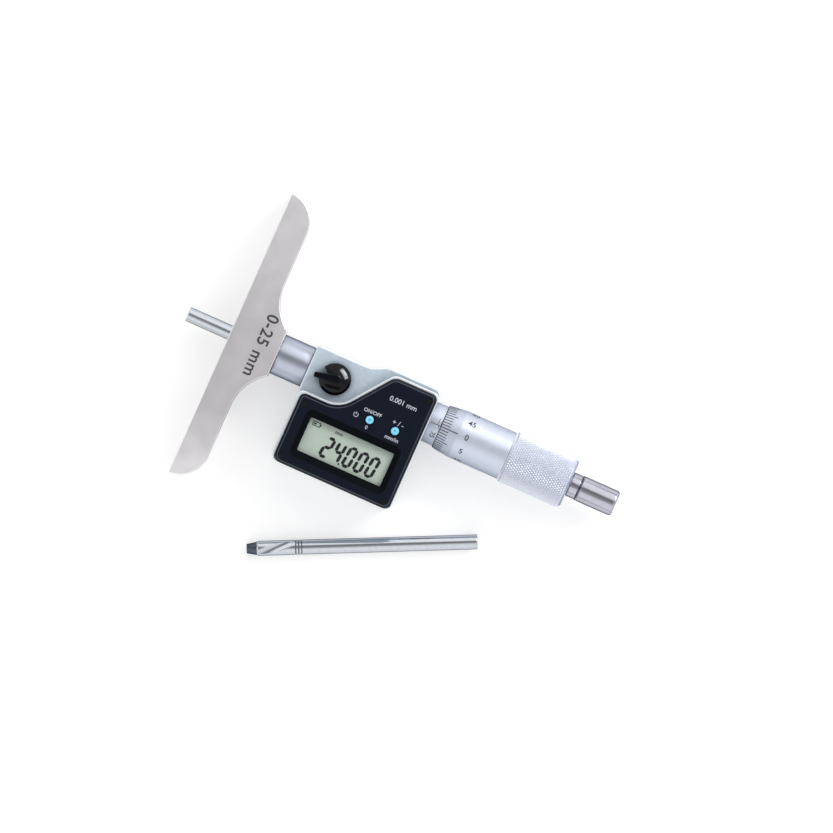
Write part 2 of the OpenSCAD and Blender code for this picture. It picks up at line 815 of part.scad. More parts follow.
module rotor_hub() {
    color([0.7, 0.6, 0.35]) difference() {
        ring(hub_x + seated, hub_len, hub_r, spindle_r + running);
        translate([key_x, 0, 0]) cylinder(r = keyway_w / 2 - 0.1 + seated, h = through);
    }
}

module rotor_key() {
    color([0.6, 0.6, 0.6]) translate([key_x, 0, spindle_r - keyway_depth + 0.1])
        cylinder(r = keyway_w / 2 - 0.1, h = hub_r - 0.2 - spindle_r + keyway_depth);
}

module rotor_spring_washer() {
    color([0.6, 0.6, 0.6]) ring(inner_x - 0.7, 0.6, hub_r - 0.2, spindle_bore_r + 0.1);
}

// Spindle: hollow nose for the rod, keyway, fine thread, then the seat and stud of the thimble

socket_r = rod_r + running;
grip_ring_x = rod_end_x - 17.6;

// A spring ring in the spindle grips the rod
module rod_grip_ring() {
    color([0.3, 0.3, 0.32]) ring(grip_ring_x, 1.2, socket_r + 0.7, socket_r);
}

module spindle() {
    cone_from_x = rod_end_x - cone_len;
    color([0.72, 0.73, 0.76]) difference() {
        turned([
            [0, spindle_nose_x], [spindle_r - 0.3, spindle_nose_x], [spindle_r, spindle_nose_x + 0.3],
            [spindle_r, thread_from_x], [thread_d / 2, thread_from_x], [thread_d / 2, cavity_end_x - 1],
            [seat_large_r, cavity_end_x - 1], [seat_large_r, cavity_end_x],
            [seat_small_r, seat_end_x], [stud_r, seat_end_x], [stud_r, seat_end_x + stud_len],
            [0, seat_end_x + stud_len]
        ]);
        turned([
            [0, spindle_nose_x - 1], [socket_r, spindle_nose_x - 1], [socket_r, grip_ring_x - seated],
            [socket_r + 0.72, grip_ring_x - seated], [socket_r + 0.72, grip_ring_x + 1.2 + seated],
            [socket_r, grip_ring_x + 1.2 + seated], [socket_r, cone_from_x],
            [cone_base_d / 2 + running, cone_from_x], [cone_tip_d / 2 + running, rod_end_x],
            [cone_tip_d / 2 + running, rod_end_x + socket_gap], [0, rod_end_x + socket_gap]
        ]);
        translate([keyway_from_x, -keyway_w / 2, spindle_r - keyway_depth])
            cube([keyway_to_x - keyway_from_x, keyway_w, 2 * keyway_depth]);
    }
}

// Thimble: graduated taper, smooth barrel and grip in one piece

function grip_end_profile(steps = 6) =
    [for (i = [0 : steps])
        [grip_d / 2 - grip_end_r + grip_end_r * cos(90 * i / steps),
            thimble_end_x - grip_end_r + grip_end_r * sin(90 * i / steps)]];

module thimble() {
    step_len = (grip_d - thimble_d) / 2 + 0.3;
    color([0.8, 0.81, 0.86]) turned(concat(
        [
            [bore_r, thimble_x], [thimble_edge_d / 2, thimble_x],
            [thimble_d / 2 - 0.15, thimble_x + taper_len - 1.6], [thimble_d / 2, thimble_x + taper_len],
            [thimble_d / 2, thimble_x + grip_from - step_len], [grip_d / 2, thimble_x + grip_from]
        ],
        grip_end_profile(),
        [
            [stem_r + seated, thimble_end_x], [stem_r + seated, seat_end_x + 0.3],
            [seat_small_r + seated, seat_end_x + 0.3],
            [seat_small_r + seated, seat_end_x], [seat_large_r + seated, cavity_end_x],
            [bore_r, cavity_end_x]
        ]
    ));
}

// Ratchet stop

module ratchet_body() {
    color([0.75, 0.75, 0.78]) difference() {
        turned([
            [0, seat_end_x + 0.4], [stem_r, seat_end_x + 0.4], [stem_r, neck_x],
            [neck_d / 2 - 0.2, neck_x],
            [neck_d / 2, neck_x + 0.2], [neck_d / 2, neck_x + neck_len - 0.2],
            [neck_d / 2 - 0.2, neck_x + neck_len], [shoulder_r, neck_x + neck_len],
            [shoulder_r, wheel_x - 0.05], [arbor_r, wheel_x - 0.05], [arbor_r, arbor_end_x], [0, arbor_end_x]
        ]);
        bar(seat_end_x, stud_len + 0.2, stud_r + seated);
        bar(arbor_end_x - 4, 5, 0.8);
    }
}

module ratchet_ring() {
    color([0.08, 0.08, 0.09]) ring(ring_x, ring_t, ratchet_r, ring_bore_r);
}

// Notches between radial saw teeth, cut into the face at x. side is 1 where the face looks to +X.
module tooth_gaps(x, side) {
    for (i = [0 : tooth_count - 1]) rotate([360 * i / tooth_count, 0, 0])
        translate([x, 0, arbor_r + 0.5]) linear_extrude(ratchet_r)
            polygon([[side * 0.2, -0.05], [side * 0.2, 0.55], [0, 0.5], [-side * tooth_depth, 0]]);
}

module ratchet_wheel() {
    color([0.5, 0.5, 0.52]) difference() {
        ring(wheel_x, wheel_t, ratchet_bore_r - passing, arbor_r + seated);
        tooth_gaps(wheel_x + wheel_t, 1);
    }
}

module ratchet_clutch() {
    color([0.5, 0.5, 0.52]) difference() {
        ring(clutch_x, clutch_t, ratchet_bore_r - passing, arbor_r + running);
        tooth_gaps(clutch_x, -1);
    }
}

// A compression spring between clutch and web: an unbroken wire swept along a helix
spring_wire_r = 0.25;
spring_coil_r = (ratchet_bore_r + arbor_r) / 2;
spring_turns = 4;
spring_steps = 12;
spring_sides = 6;
spring_len = web_x - spring_x - 0.1 - 2 * spring_wire_r;

function spring_point(t) =
    let (a = 360 * spring_turns * t)
    [spring_x + spring_wire_r + spring_len * t, spring_coil_r * cos(a), spring_coil_r * sin(a)];

echo(spring_least_gap = spring_len / spring_turns - 2 * spring_wire_r);

module ratchet_spring() {
    rings = spring_turns * spring_steps;
    points = [for (k = [0 : rings], s = [0 : spring_sides - 1])
        let (
            t = k / rings,
            a = 360 * spring_turns * t,
            out = [0, cos(a), sin(a)],
            w = 360 * s / spring_sides
        )
        spring_point(t) + spring_wire_r * (cos(w) * out + sin(w) * [1, 0, 0])];
    side_faces = [for (k = [0 : rings - 1], s = [0 : spring_sides - 1])
        let (a = k * spring_sides + s, b = k * spring_sides + (s + 1) % spring_sides)
        each [[a, b, b + spring_sides], [a, b + spring_sides, a + spring_sides]]];
    end_faces = [for (s = [1 : spring_sides - 2])
        let (last = rings * spring_sides)
        each [[0, s + 1, s], [last, last + s, last + s + 1]]];
    color([0.6, 0.6, 0.6]) polyhedron(points = points, faces = concat(side_faces, end_faces), convexity = 8);
}

module ratchet_screw() {
    color([0.3, 0.3, 0.32]) difference() {
        union() {
            bar(screw_head_x + seated, screw_head_t, 2.2);
            bar(arbor_end_x - 3.5, 4, 0.8 - seated);
        }
        translate([screw_head_x + screw_head_t - 0.5, -3, -0.3]) cube([2, 6, 0.6]);
    }
}

module ratchet_knob() {
    bore_end_x = knob_end_x - end_cap_t;
    color([0.75, 0.75, 0.78]) turned([
        [ratchet_bore_r, knob_x], [ratchet_r - 0.25, knob_x], [ratchet_r, knob_x + 0.25],
        [ratchet_r, knob_end_x - 0.9], [ratchet_r - 0.26, knob_end_x - 0.26], [ratchet_r - 0.9, knob_end_x],
        [2.9, knob_end_x], [2.9, bore_end_x], [2.7, bore_end_x], [2.7, web_x + web_t],
        [arbor_r + running, web_x + web_t], [arbor_r + running, web_x], [ratchet_bore_r, web_x]
    ]);
}

module ratchet_end_cap() {
    color([0.75, 0.75, 0.78]) bar(knob_end_x - end_cap_t + seated, end_cap_t - 0.1, 2.9 - seated);
}

// Measuring rods. Each is drawn with its cone tip at the origin and its shaft along +X.

module rod_shaft(length) {
    groove = rod_r - ring_depth;
    difference() {
        turned(concat(
            [[0, cone_len + seated], [cone_base_d / 2, cone_len + seated], [rod_r, cone_len + 0.35]],
            [for (i = [0 : ring_count - 1]) let (x = ring_start + i * ring_pitch)
                each [[rod_r, x], [groove, x], [groove, x + ring_w], [rod_r, x + ring_w]]],
            [[rod_r, length - 0.3], [rod_face_d / 2, length], [0, length]]
        ));
        translate([catch_at, 0, rod_r - catch_depth + catch_d / 2]) rotate([0, 90, catch_slant])
            cylinder(r = catch_d / 2, h = 30, center = true);
    }
}

module rod_cone() {
    turned([
        [0, 0], [cone_tip_d / 2 - 0.2, 0], [cone_tip_d / 2, 0.2], [cone_base_d / 2 - 0.05, cone_len],
        [0, cone_len]
    ]);
}

module at_fitted_rod() {
    translate([rod_end_x, 0, 0]) rotate([0, 0, 180]) children();
}

module at_spare_rod() {
    translate([spare_x, spare_y, -back_z + rod_r]) rotate([0, 0, spare_angle]) children();
}

module measuring_rod() { color([0.7, 0.71, 0.75]) at_fitted_rod() rod_shaft(rod_len); }
module measuring_rod_cone() { color([0.1, 0.11, 0.13]) at_fitted_rod() rod_cone(); }
module spare_rod() { color([0.7, 0.71, 0.75]) at_spare_rod() rod_shaft(spare_rod_len); }
module spare_rod_cone() { color([0.1, 0.11, 0.13]) at_spare_rod() rod_cone(); }

// Front cover, gasket and screws

module window_opening() {
    rim = 0.45;
    edge_z = cover_z - surround_depth;
    plate(display_x, display_y, display_w + 2 * rim - 0.2, display_h + 2 * rim - 0.2,
        roof_z - 5, cover_z + 1, 0.5);
    hull() {
        plate(display_x, display_y, display_w + 2 * rim, display_h + 2 * rim, edge_z, edge_z + eps, 0.5);
        plate(display_x, display_y, surround_w, surround_h, cover_z, cover_z + eps, 1.8);
    }
}

module front_cover() {
    color([0.08, 0.09, 0.12]) difference() {
        union() {
            difference() {
                bevelled_slab(cover_corners(), cover_from_z, cover_z, 0.1, cover_bevel, cover_middle);
                translate([0, 0, cover_from_z - 1]) linear_extrude(roof_z - cover_from_z + 1)
                    polygon(rounded(drawn_in(cover_corners(), cover_wall)));
            }
            // screw posts and the seat of the window
            intersection() {
                union() {
                    for (p = screw_places) post(p[0], p[1], cover_from_z, roof_z + eps, boss_r);
                    plate(display_x, display_y, surround_w + 2.4, surround_h + 1.6,
                        window_z, roof_z + eps, 0.5);
                    plate(membrane_x, button_y, membrane_w, membrane_h,
                        membrane_top_z + seated, roof_z + eps, 1);
                }
                translate([0, 0, cover_from_z]) linear_extrude(roof_z) polygon(rounded(cover_corners()));
            }
        }
        window_opening();
        plate(display_x, display_y, surround_w + 0.1, surround_h - 0.9, -1,
            window_z + window_t + 0.03, 0.4);
        plate(membrane_x, button_y, membrane_w - 1.6, membrane_h - 1.6, 0, roof_z, 0.4);
        for (x = [button_a_x, button_b_x]) {
            post(x, button_y, 0, through, button_d / 2 + passing);
            post(x, button_y, cover_z - 0.25, through, button_d / 2 + 0.45);
        }
        for (p = screw_places) {
            post(p[0], p[1], 0, through, screw_r + 0.1);
            post(p[0], p[1], cover_z - 1.3, through, screw_head_r + 0.1);
        }
    }
}

module cover_gasket() {
    color([0.12, 0.12, 0.12]) translate([0, 0, front_z + seated]) linear_extrude(gasket_t) difference() {
        polygon(rounded(drawn_in(cover_corners(), 0.3)));
        polygon(rounded(drawn_in(cover_corners(), 1.1)));
    }
}

module cover_screws() {
    color([0.15, 0.15, 0.16]) for (p = screw_places) difference() {
        union() {
            post(p[0], p[1], cover_z - 1.25, cover_z - 0.35, screw_head_r);
            post(p[0], p[1], front_z - screw_depth, cover_z - 1.2, screw_r - seated);
        }
        for (a = [0, 90]) translate([p[0], p[1], cover_z - 0.6]) rotate([0, 0, a])
            cube([1.5, 0.35, 1], center = true);
    }
}

// Display and electronics

module display_window() {
    color([0.8, 0.85, 0.85, 0.35])
        plate(display_x, display_y, surround_w, surround_h - 1, window_z, window_z + window_t, 0.4);
}

lcd_w = display_w + 2 * window_margin;
lcd_h = display_h + 2 * window_margin + 1;

module lcd_panel() {
    color([0.7, 0.74, 0.68]) plate(display_x, display_y, lcd_w, lcd_h, lcd_z, lcd_z + lcd_t, 0.2);
}

module lcd_holder() {
    color([0.85, 0.85, 0.82]) difference() {
        plate(display_x, display_y, lcd_w + 1.2, lcd_h + 1.2, board_top + seated, lcd_z + lcd_t - 0.2, 0.5);
        plate(display_x, display_y, lcd_w + 0.1, lcd_h + 0.1, lcd_z - seated, cover_z, 0.2);
        for (side = [-1, 1]) contact_strip(side, 0.1, 0, lcd_z + 1);
        plate(display_x, display_y, lcd_w - 3, lcd_h - 6, 0, cover_z, 0.5);
    }
}

// Two elastomer strips join the glass to the board, and stand in slots of the holder
strip_w = 1.6;
strip_inset = 1.1;

module contact_strip(side, gap, z0, z1) {
    from_x = display_x - lcd_w / 2 + strip_inset - gap;
    from_y = display_y + side * (lcd_h / 2 - strip_inset) - strip_w / 2 - gap;
    translate([from_x, from_y, z0]) cube([lcd_w - 2 * strip_inset + 2 * gap, strip_w + 2 * gap, z1 - z0]);
}

module lcd_contact_strips() {
    color([0.25, 0.25, 0.3])
        for (side = [-1, 1]) contact_strip(side, 0, board_top + seated, lcd_z - seated);
}

// The board fills the tray below the spindle
module main_board() {
    board_edge_y = -spindle_r - 7.5;
    color([0.1, 0.35, 0.2]) difference() {
        intersection() {
            translate([0, 0, board_z]) linear_extrude(board_t) polygon(rounded(drawn_in(tray_corners, 0.3)));
            translate([cover_left, cover_bottom, 0])
                cube([cover_right - cover_left, board_edge_y - cover_bottom, board_top + 1]);
        }
        for (p = screw_places) post(p[0], p[1], 0, through, boss_r + 0.3);
        for (p = board_posts) post(p[0], p[1], 0, through, board_screw_r + running);
    }
}

module board_screws() {
    color([0.6, 0.6, 0.62]) for (p = board_posts) {
        post(p[0], p[1], board_top + seated, board_top + 0.6, board_screw_r + 0.35);
        post(p[0], p[1], board_z - board_screw_depth, board_top + 0.1, board_screw_r - seated);
    }
}

// Buttons: a flanged cap each, on one rubber membrane that seals the cover

flange_z = roof_z - 0.5;
membrane_top_z = flange_z - button_travel - 0.1;
membrane_x = (button_a_x + button_b_x) / 2;
membrane_w = button_b_x - button_a_x + 6.4;
membrane_h = 5.8;

module button(x) {
    top = cover_z + button_proud;
    post(x, button_y, flange_z, top - 0.2, button_d / 2);
    post(x, button_y, flange_z, roof_z - 0.05, button_d / 2 + 0.5);
    post(x, button_y, top - 0.2 - eps, top, button_d / 2 - 0.2);
}

module on_off_button() { color([0.4, 0.75, 0.9]) button(button_a_x); }
module unit_button() { color([0.4, 0.75, 0.9]) button(button_b_x); }

module button_membrane() {
    color([0.2, 0.2, 0.22])
        plate(membrane_x, button_y, membrane_w, membrane_h, membrane_top_z - 0.8, membrane_top_z, 1);
}

// Battery, its contacts and the screwed cap in the back

module battery() {
    color([0.8, 0.8, 0.82]) {
        post(battery_x, battery_y, battery_z, battery_z + battery_h - 1.5, battery_d / 2);
        post(battery_x, battery_y, battery_z + battery_h - 1.5 - eps, battery_z + battery_h,
            battery_d / 2 - 0.9);
    }
}

module battery_contact() {
    color([0.75, 0.7, 0.5]) difference() {
        post(battery_x, battery_y, battery_z + 0.3, well_top_z, well_r - seated);
        post(battery_x, battery_y, battery_z - 1, well_top_z + 1, battery_d / 2 + 0.1);
    }
}

module battery_spring_contact() {
    color([0.75, 0.7, 0.5]) {
        post(battery_x, battery_y, battery_z + battery_h + seated, board_z - seated, 2);
    }
}

// Two lugs hold the cap behind the wall of the well. A quarter turn frees them.
lug_r = skirt_r + 0.9;
lug_w = 4;
lug_t = 0.6;
lug_z = cap_z + cap_t + skirt_len - lug_t;

module battery_cap() {
    color([0.12, 0.12, 0.13]) difference() {
        union() {
            post(battery_x, battery_y, cap_z, cap_z + cap_t, cap_d / 2);
            post(battery_x, battery_y, cap_z + cap_t - eps, cap_z + cap_t + skirt_len, skirt_r);
            intersection() {
                post(battery_x, battery_y, lug_z, lug_z + lug_t, lug_r);
                translate([battery_x - 10, battery_y - lug_w / 2, lug_z - 1]) cube([20, lug_w, 3]);
            }
        }
        translate([battery_x - 5, battery_y - 0.8, cap_z - 1]) cube([10, 1.6, 1.7]);
        post(battery_x, battery_y, cap_z + cap_t + 0.4, through, skirt_r - 1);
        difference() {
            post(battery_x, battery_y, cap_z + cap_t - 0.5, cap_z + cap_t, cap_d / 2 - 0.1);
            post(battery_x, battery_y, cap_z, cap_z + cap_t + 1, skirt_r + 0.2);
        }
    }
}

module battery_cap_seal() {
    color([0.1, 0.1, 0.1]) difference() {
        post(battery_x, battery_y, cap_z + cap_t - 0.48, cap_z + cap_t + 0.05, cap_d / 2 - 0.12);
        post(battery_x, battery_y, cap_z, cap_z + cap_t + 1, skirt_r + 0.22);
    }
}

base();
guide_bush();
base_set_screws();
connecting_tube();
front_bearing_bush();
wiper_seal();
frame_casting();
clamp_ring();
frame_bearing_bush();
inner_sleeve();
graduated_sleeve();
adjusting_nut();
encoder_stator();
stator_ribbon();
rotor_spring_washer();
main_board();
board_screws();
lcd_panel();
lcd_contact_strips();
lcd_holder();
display_window();
front_cover();
cover_gasket();
cover_screws();
button_membrane();
battery();
battery_contact();
battery_spring_contact();
battery_cap_seal();
battery_cap();
encoder_rotor();
rotor_hub();
rotor_key();
spindle();
rod_grip_ring();
thimble();
ratchet_body();
ratchet_ring();
ratchet_wheel();
ratchet_screw();
ratchet_knob();
ratchet_clutch();
ratchet_spring();
ratchet_end_cap();
measuring_rod();
measuring_rod_cone();
lock_lever();
lock_screw();
on_off_button();
unit_button();
spare_rod();
spare_rod_cone();
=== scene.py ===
"""Looks of the depth micrometer. Lengths are in millimetres until a mesh is made, and Blender gets metres."""

import math

import bmesh
import bpy
from mathutils import Matrix, Vector


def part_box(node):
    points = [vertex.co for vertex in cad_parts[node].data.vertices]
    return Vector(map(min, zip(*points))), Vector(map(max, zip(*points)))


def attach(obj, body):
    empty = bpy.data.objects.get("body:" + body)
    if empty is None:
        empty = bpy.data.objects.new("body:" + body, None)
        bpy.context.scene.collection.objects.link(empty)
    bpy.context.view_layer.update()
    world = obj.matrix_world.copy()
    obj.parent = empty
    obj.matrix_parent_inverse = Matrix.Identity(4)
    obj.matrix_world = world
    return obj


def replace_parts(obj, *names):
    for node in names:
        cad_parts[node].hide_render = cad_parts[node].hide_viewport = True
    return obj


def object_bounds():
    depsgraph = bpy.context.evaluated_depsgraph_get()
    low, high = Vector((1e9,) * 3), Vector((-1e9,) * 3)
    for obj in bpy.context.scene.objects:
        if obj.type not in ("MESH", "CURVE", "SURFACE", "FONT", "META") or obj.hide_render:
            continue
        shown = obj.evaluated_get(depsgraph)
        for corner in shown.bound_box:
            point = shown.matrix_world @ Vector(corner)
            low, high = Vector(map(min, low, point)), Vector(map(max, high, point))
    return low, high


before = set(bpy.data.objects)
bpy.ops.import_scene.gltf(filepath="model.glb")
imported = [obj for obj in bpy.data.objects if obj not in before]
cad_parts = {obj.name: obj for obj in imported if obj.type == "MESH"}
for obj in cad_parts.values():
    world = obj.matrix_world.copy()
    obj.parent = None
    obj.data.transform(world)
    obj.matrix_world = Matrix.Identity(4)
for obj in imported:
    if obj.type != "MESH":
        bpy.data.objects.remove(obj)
cad_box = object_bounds()
MM = 0.001
X, Y, Z = 0, 1, 2
# Gap between pieces that seat on each other
SEAT = 0.02
# How far a cutter reaches past what it cuts
PAST = 1


def low(node, axis):
    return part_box(node)[0][axis] / MM


def high(node, axis):
    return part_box(node)[1][axis] / MM


def extent(node, axis):
    return low(node, axis), high(node, axis)


def place_of(node):
    """The middle of a node, seen from the front."""
    return sum(extent(node, X)) / 2, sum(extent(node, Y)) / 2


# Materials

MOTTLE_SPAN = (0.3, 0.7)
GLOSS_SPREAD = 0.12
GRAIN_STRENGTH = 0.6


def set_inputs(shader, values):
    for name, value in values.items():
        shader.inputs[name].default_value = value


def surface(name, colour, roughness, metallic=0.0, mottle=0.05, mottle_size=2.0, grain=(1, 1, 1),
            grain_size=0.3, grain_depth=0.004, **settings):
    """A finish with uneven colour and gloss and a fine relief. Sizes and depths are in millimetres.
    grain stretches the relief: a small number draws it out along that axis."""
    mat = bpy.data.materials.new(name)
    mat.use_nodes = True
    nodes, links = mat.node_tree.nodes, mat.node_tree.links
    shader = nodes["Principled BSDF"]
    set_inputs(shader, {"Metallic": metallic, "Roughness": roughness, **settings})
    place = nodes.new("ShaderNodeTexCoord")
    stretch = nodes.new("ShaderNodeMapping")
    stretch.inputs["Scale"].default_value = grain
    links.new(place.outputs["Object"], stretch.inputs["Vector"])
    patches = nodes.new("ShaderNodeTexNoise")
    set_inputs(patches, {"Scale": 1 / (mottle_size * MM), "Detail": 3.0})
    links.new(place.outputs["Object"], patches.inputs["Vector"])
    tones = nodes.new("ShaderNodeValToRGB")
    for element, position, factor in zip(tones.color_ramp.elements, MOTTLE_SPAN, (1 - mottle, 1 + mottle)):
        element.position = position
        element.color = [min(1.0, c * factor) for c in colour] + [1.0]
    links.new(patches.outputs["Fac"], tones.inputs["Fac"])
    links.new(tones.outputs["Color"], shader.inputs["Base Color"])
    gloss = nodes.new("ShaderNodeMapRange")
    dullest = min(1.0, roughness * (1 + GLOSS_SPREAD))
    set_inputs(gloss, {"To Min": roughness * (1 - GLOSS_SPREAD), "To Max": dullest})
    links.new(patches.outputs["Fac"], gloss.inputs["Value"])
    links.new(gloss.outputs["Result"], shader.inputs["Roughness"])
    fine = nodes.new("ShaderNodeTexNoise")
    set_inputs(fine, {"Scale": 1 / (grain_size * MM), "Detail": 2.0})
    links.new(stretch.outputs["Vector"], fine.inputs["Vector"])
    relief = nodes.new("ShaderNodeBump")
    set_inputs(relief, {"Strength": GRAIN_STRENGTH, "Distance": grain_depth * MM})
    links.new(fine.outputs["Fac"], relief.inputs["Height"])
    links.new(relief.outputs["Normal"], shader.inputs["Normal"])
    return mat


# Turned and ground metal darkens towards its outline: a dark reflection painted into the edge tint of its
# gloss
RIM = {"Specular Tint": (0.08, 0.09, 0.12, 1)}
GROUND_RIM = {"Specular Tint": (0.6, 0.6, 0.62, 1)}
FLAT_PAINT = {"Specular IOR Level": 0.25}


def turned(name, colour, roughness, grain_size=0.12, grain_depth=0.003):
    """Plated metal with fine turning marks round the spindle axis."""
    return surface(name, colour, roughness, 1.0, 0.03, 2.0, (1, 0.1, 0.1), grain_size, grain_depth, **RIM)


ground_steel = surface("ground_steel", (0.555, 0.54, 0.555), 0.58, 1.0, 0.05, 8.0, (1, 0.12, 1), 0.2, 0.009,
                       **GROUND_RIM)
# A paler, glossier copy of the ground steel for chamfers and shoulders: a painted highlight.
ground_edge_highlight = surface("ground_edge_highlight", (0.84, 0.82, 0.84), 0.35, 1.0, 0.02, 2.0, grain_depth=0.002)
tube_chrome = turned("tube_chrome", (0.45, 0.48, 0.56), 0.30, 0.12, 0.002)
satin_chrome = turned("satin_chrome", (0.60, 0.64, 0.74), 0.48)
taper_chrome = turned("taper_chrome", (0.54, 0.575, 0.67), 0.55)
polished_steel = turned("polished_steel", (0.455, 0.455, 0.52), 0.12, 0.1, 0.001)
knurl_chrome = surface("knurl_chrome", (0.68, 0.705, 0.785), 0.55, 1.0, 0.04, 2.0, grain_size=0.1,
                       grain_depth=0.003)
hard_steel = surface("hard_steel", (0.53, 0.56, 0.60), 0.12, 1.0, 0.04, 1.5, (1, 0.2, 0.2), 0.1, 0.002, **RIM)
screw_black = surface("screw_black", (0.012, 0.014, 0.018), 0.35, 0.5, 0.25, 1.0, grain_size=0.2)
black_oxide = surface("black_oxide", (0.085, 0.10, 0.13), 0.22, 0.9, 0.2, 1.0, grain_size=0.2, **RIM)
enamel = surface("enamel", (0.455, 0.53, 0.605), 0.42, 0.15, 0.07, 1.3, grain_size=0.22, grain_depth=0.05)
# A paler, glossier copy of the enamel for the lip: a painted highlight.
enamel_lip_highlight = surface("enamel_lip_highlight", (0.76, 0.80, 0.85), 0.30, 0.35, 0.05, 1.5, grain_depth=0.01)
cover_plastic = surface("cover_plastic", (0.0015, 0.004, 0.012), 0.38, 0.0, 0.12, 3.0, grain_size=0.25,
                        grain_depth=0.006, **{"Specular IOR Level": 0.17})
# A paler copy of the cover's plastic for its top edge: a painted highlight.
cover_edge_highlight = surface("cover_edge_highlight", (0.030, 0.036, 0.052), 0.3, 0.0, 0.15, 2.0, grain_depth=0.003)
cover_recess = surface("cover_recess", (0.001, 0.0025, 0.004), 0.55, 0.0, 0.1, 2.0, grain_depth=0.003,
                       **{"Specular IOR Level": 0.05})
lever_plastic = surface("lever_plastic", (0.001, 0.0015, 0.004), 0.10, 0.0, 0.15, 2.0, grain_depth=0.0,
                        **{"Specular IOR Level": 0.2})
button_plastic = surface("button_plastic", (0.20, 0.61, 0.86), 0.3, 0.0, 0.05, 1.0)
# A darker copy of the buttons' blue for their dimples: painted shade.
button_dimple_shade = surface("button_dimple_shade", (0.11, 0.36, 0.50), 0.3, 0.0, 0.05, 1.0)
lcd_glass = surface("lcd_glass", (0.50, 0.585, 0.52), 0.35, 0.0, 0.02, 6.0, grain_depth=0.0)
print_dark = surface("print_dark", (0.010, 0.011, 0.015), 0.6, 0.0, 0.15, 0.8, **FLAT_PAINT)
scale_paint = surface("scale_paint", (0.035, 0.036, 0.048), 0.6, 0.0, 0.15, 0.8, **FLAT_PAINT)
print_pale = surface("print_pale", (0.46, 0.48, 0.54), 0.6, 0.0, 0.08, 0.8)
# Dark fill for engraved letters, also used as painted shade on the thimble's front edge.
engraving_fill_and_edge_shade = surface("engraving_fill_and_edge_shade", (0.035, 0.035, 0.038), 0.7, 0.0, 0.2, 0.6, grain_depth=0.02)
groove_grey = surface("groove_grey", (0.13, 0.135, 0.15), 0.5, 0.3, 0.1, 0.6)
rubber = surface("rubber", (0.015, 0.015, 0.016), 0.7, 0.0, 0.15, 1.0)
bronze = surface("bronze", (0.55, 0.36, 0.14), 0.35, 1.0, 0.06, 1.5)
board_green = surface("board_green", (0.015, 0.10, 0.04), 0.45, 0.0, 0.15, 1.2)
amber_film = surface("amber_film", (0.45, 0.20, 0.03), 0.35, 0.0, 0.1, 1.5)
gold_contact = surface("gold_contact", (0.72, 0.55, 0.25), 0.25, 1.0, 0.05, 1.0)
white_plastic = surface("white_plastic", (0.65, 0.65, 0.62), 0.5, 0.0, 0.05, 2.0)
cap_plastic = surface("cap_plastic", (0.02, 0.02, 0.022), 0.45, 0.0, 0.15, 1.0)
clear_window = surface("clear_window", (0.03, 0.035, 0.035), 0.06, 0.0, 0.02, 5.0, grain_depth=0.0,
                       Alpha=0.06)


def scale_colour(mat, value, span, levels):
    """Multiplies a finish's colour by levels[0] where value is span[0], through to levels[1] at span[1]."""
    nodes, links = mat.node_tree.nodes, mat.node_tree.links
    factor = nodes.new("ShaderNodeMapRange")
    set_inputs(factor, {"From Min": span[0], "From Max": span[1], "To Min": levels[0], "To Max": levels[1]})
    links.new(value, factor.inputs["Value"])
    colour = nodes["Principled BSDF"].inputs["Base Color"]
    scaled = nodes.new("ShaderNodeVectorMath")
    scaled.operation = "SCALE"
    links.new(colour.links[0].from_socket, scaled.inputs[0])
    links.new(factor.outputs["Result"], scaled.inputs["Scale"])
    links.new(scaled.outputs["Vector"], colour)
    return factor


def paint_end_light(mat, near, far, least, most):
    """Paints light into a long piece's colour, brighter towards one end along Y, from near to far in
    millimetres.
    """
    nodes = mat.node_tree.nodes
    place = nodes.new("ShaderNodeTexCoord")
    parts = nodes.new("ShaderNodeSeparateXYZ")
    mat.node_tree.links.new(place.outputs["Object"], parts.inputs["Vector"])
    painted_light_factor = scale_colour(mat, parts.outputs["Y"], (near * MM, far * MM), (least, most))
    painted_light_factor.interpolation_type = "SMOOTHSTEP"


def paint_corner_shade(mat, reach, least):
    """Paints shade into a surface's colour where it meets a raised one, up to reach millimetres out, darkest
    where the surroundings are most blocked.
    """
    near = mat.node_tree.nodes.new("ShaderNodeAmbientOcclusion")
    near.samples = 12
    near.inputs["Distance"].default_value = reach * MM
    scale_colour(mat, near.outputs["AO"], (0.45, 0.97), (least, 1.0))


# Painted light on the base's steel: brighter towards the ends of its arms, most at the -Y end.
paint_end_light(ground_steel, 10, 30, 0.96, 1.05)
paint_end_light(ground_steel, -22, -50, 1.0, 1.42)
# Painted shade on the casting's enamel, round the knob and along the lip.
paint_corner_shade(enamel, 4.0, 0.5)

# Meshes


def make(name, vertices, faces, body, mat, smooth=35):
    """A piece from points in millimetres."""
    mesh = bpy.data.meshes.new(name)
    mesh.from_pydata([Vector(v) * MM for v in vertices], [], faces)
    mesh.validate()
    return add_piece(name, mesh, body, mat, smooth)


def add_piece(name, mesh, body, mat, smooth):
    """Puts a mesh in the scene."""
    finish_mesh(mesh, smooth)
    obj = bpy.data.objects.new(name, mesh)
    bpy.context.scene.collection.objects.link(obj)
    mesh.materials.append(mat)
    if body:
        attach(obj, body)
    return obj


def finish_mesh(mesh, smooth):
    """Turns every face outwards. Edges sharper than smooth degrees stay sharp."""
    work = bmesh.new()
    work.from_mesh(mesh)
    bmesh.ops.recalc_face_normals(work, faces=work.faces)
    work.to_mesh(mesh)
    work.free()
    mesh.polygons.foreach_set("use_smooth", [True] * len(mesh.polygons))
    mesh.set_sharp_from_angle(angle=math.radians(smooth))


def evaluated_mesh(obj):
    """The mesh of an object with its modifiers applied, or of a word."""
    bpy.context.view_layer.update()
    return bpy.data.meshes.new_from_object(obj.evaluated_get(bpy.context.evaluated_depsgraph_get()))


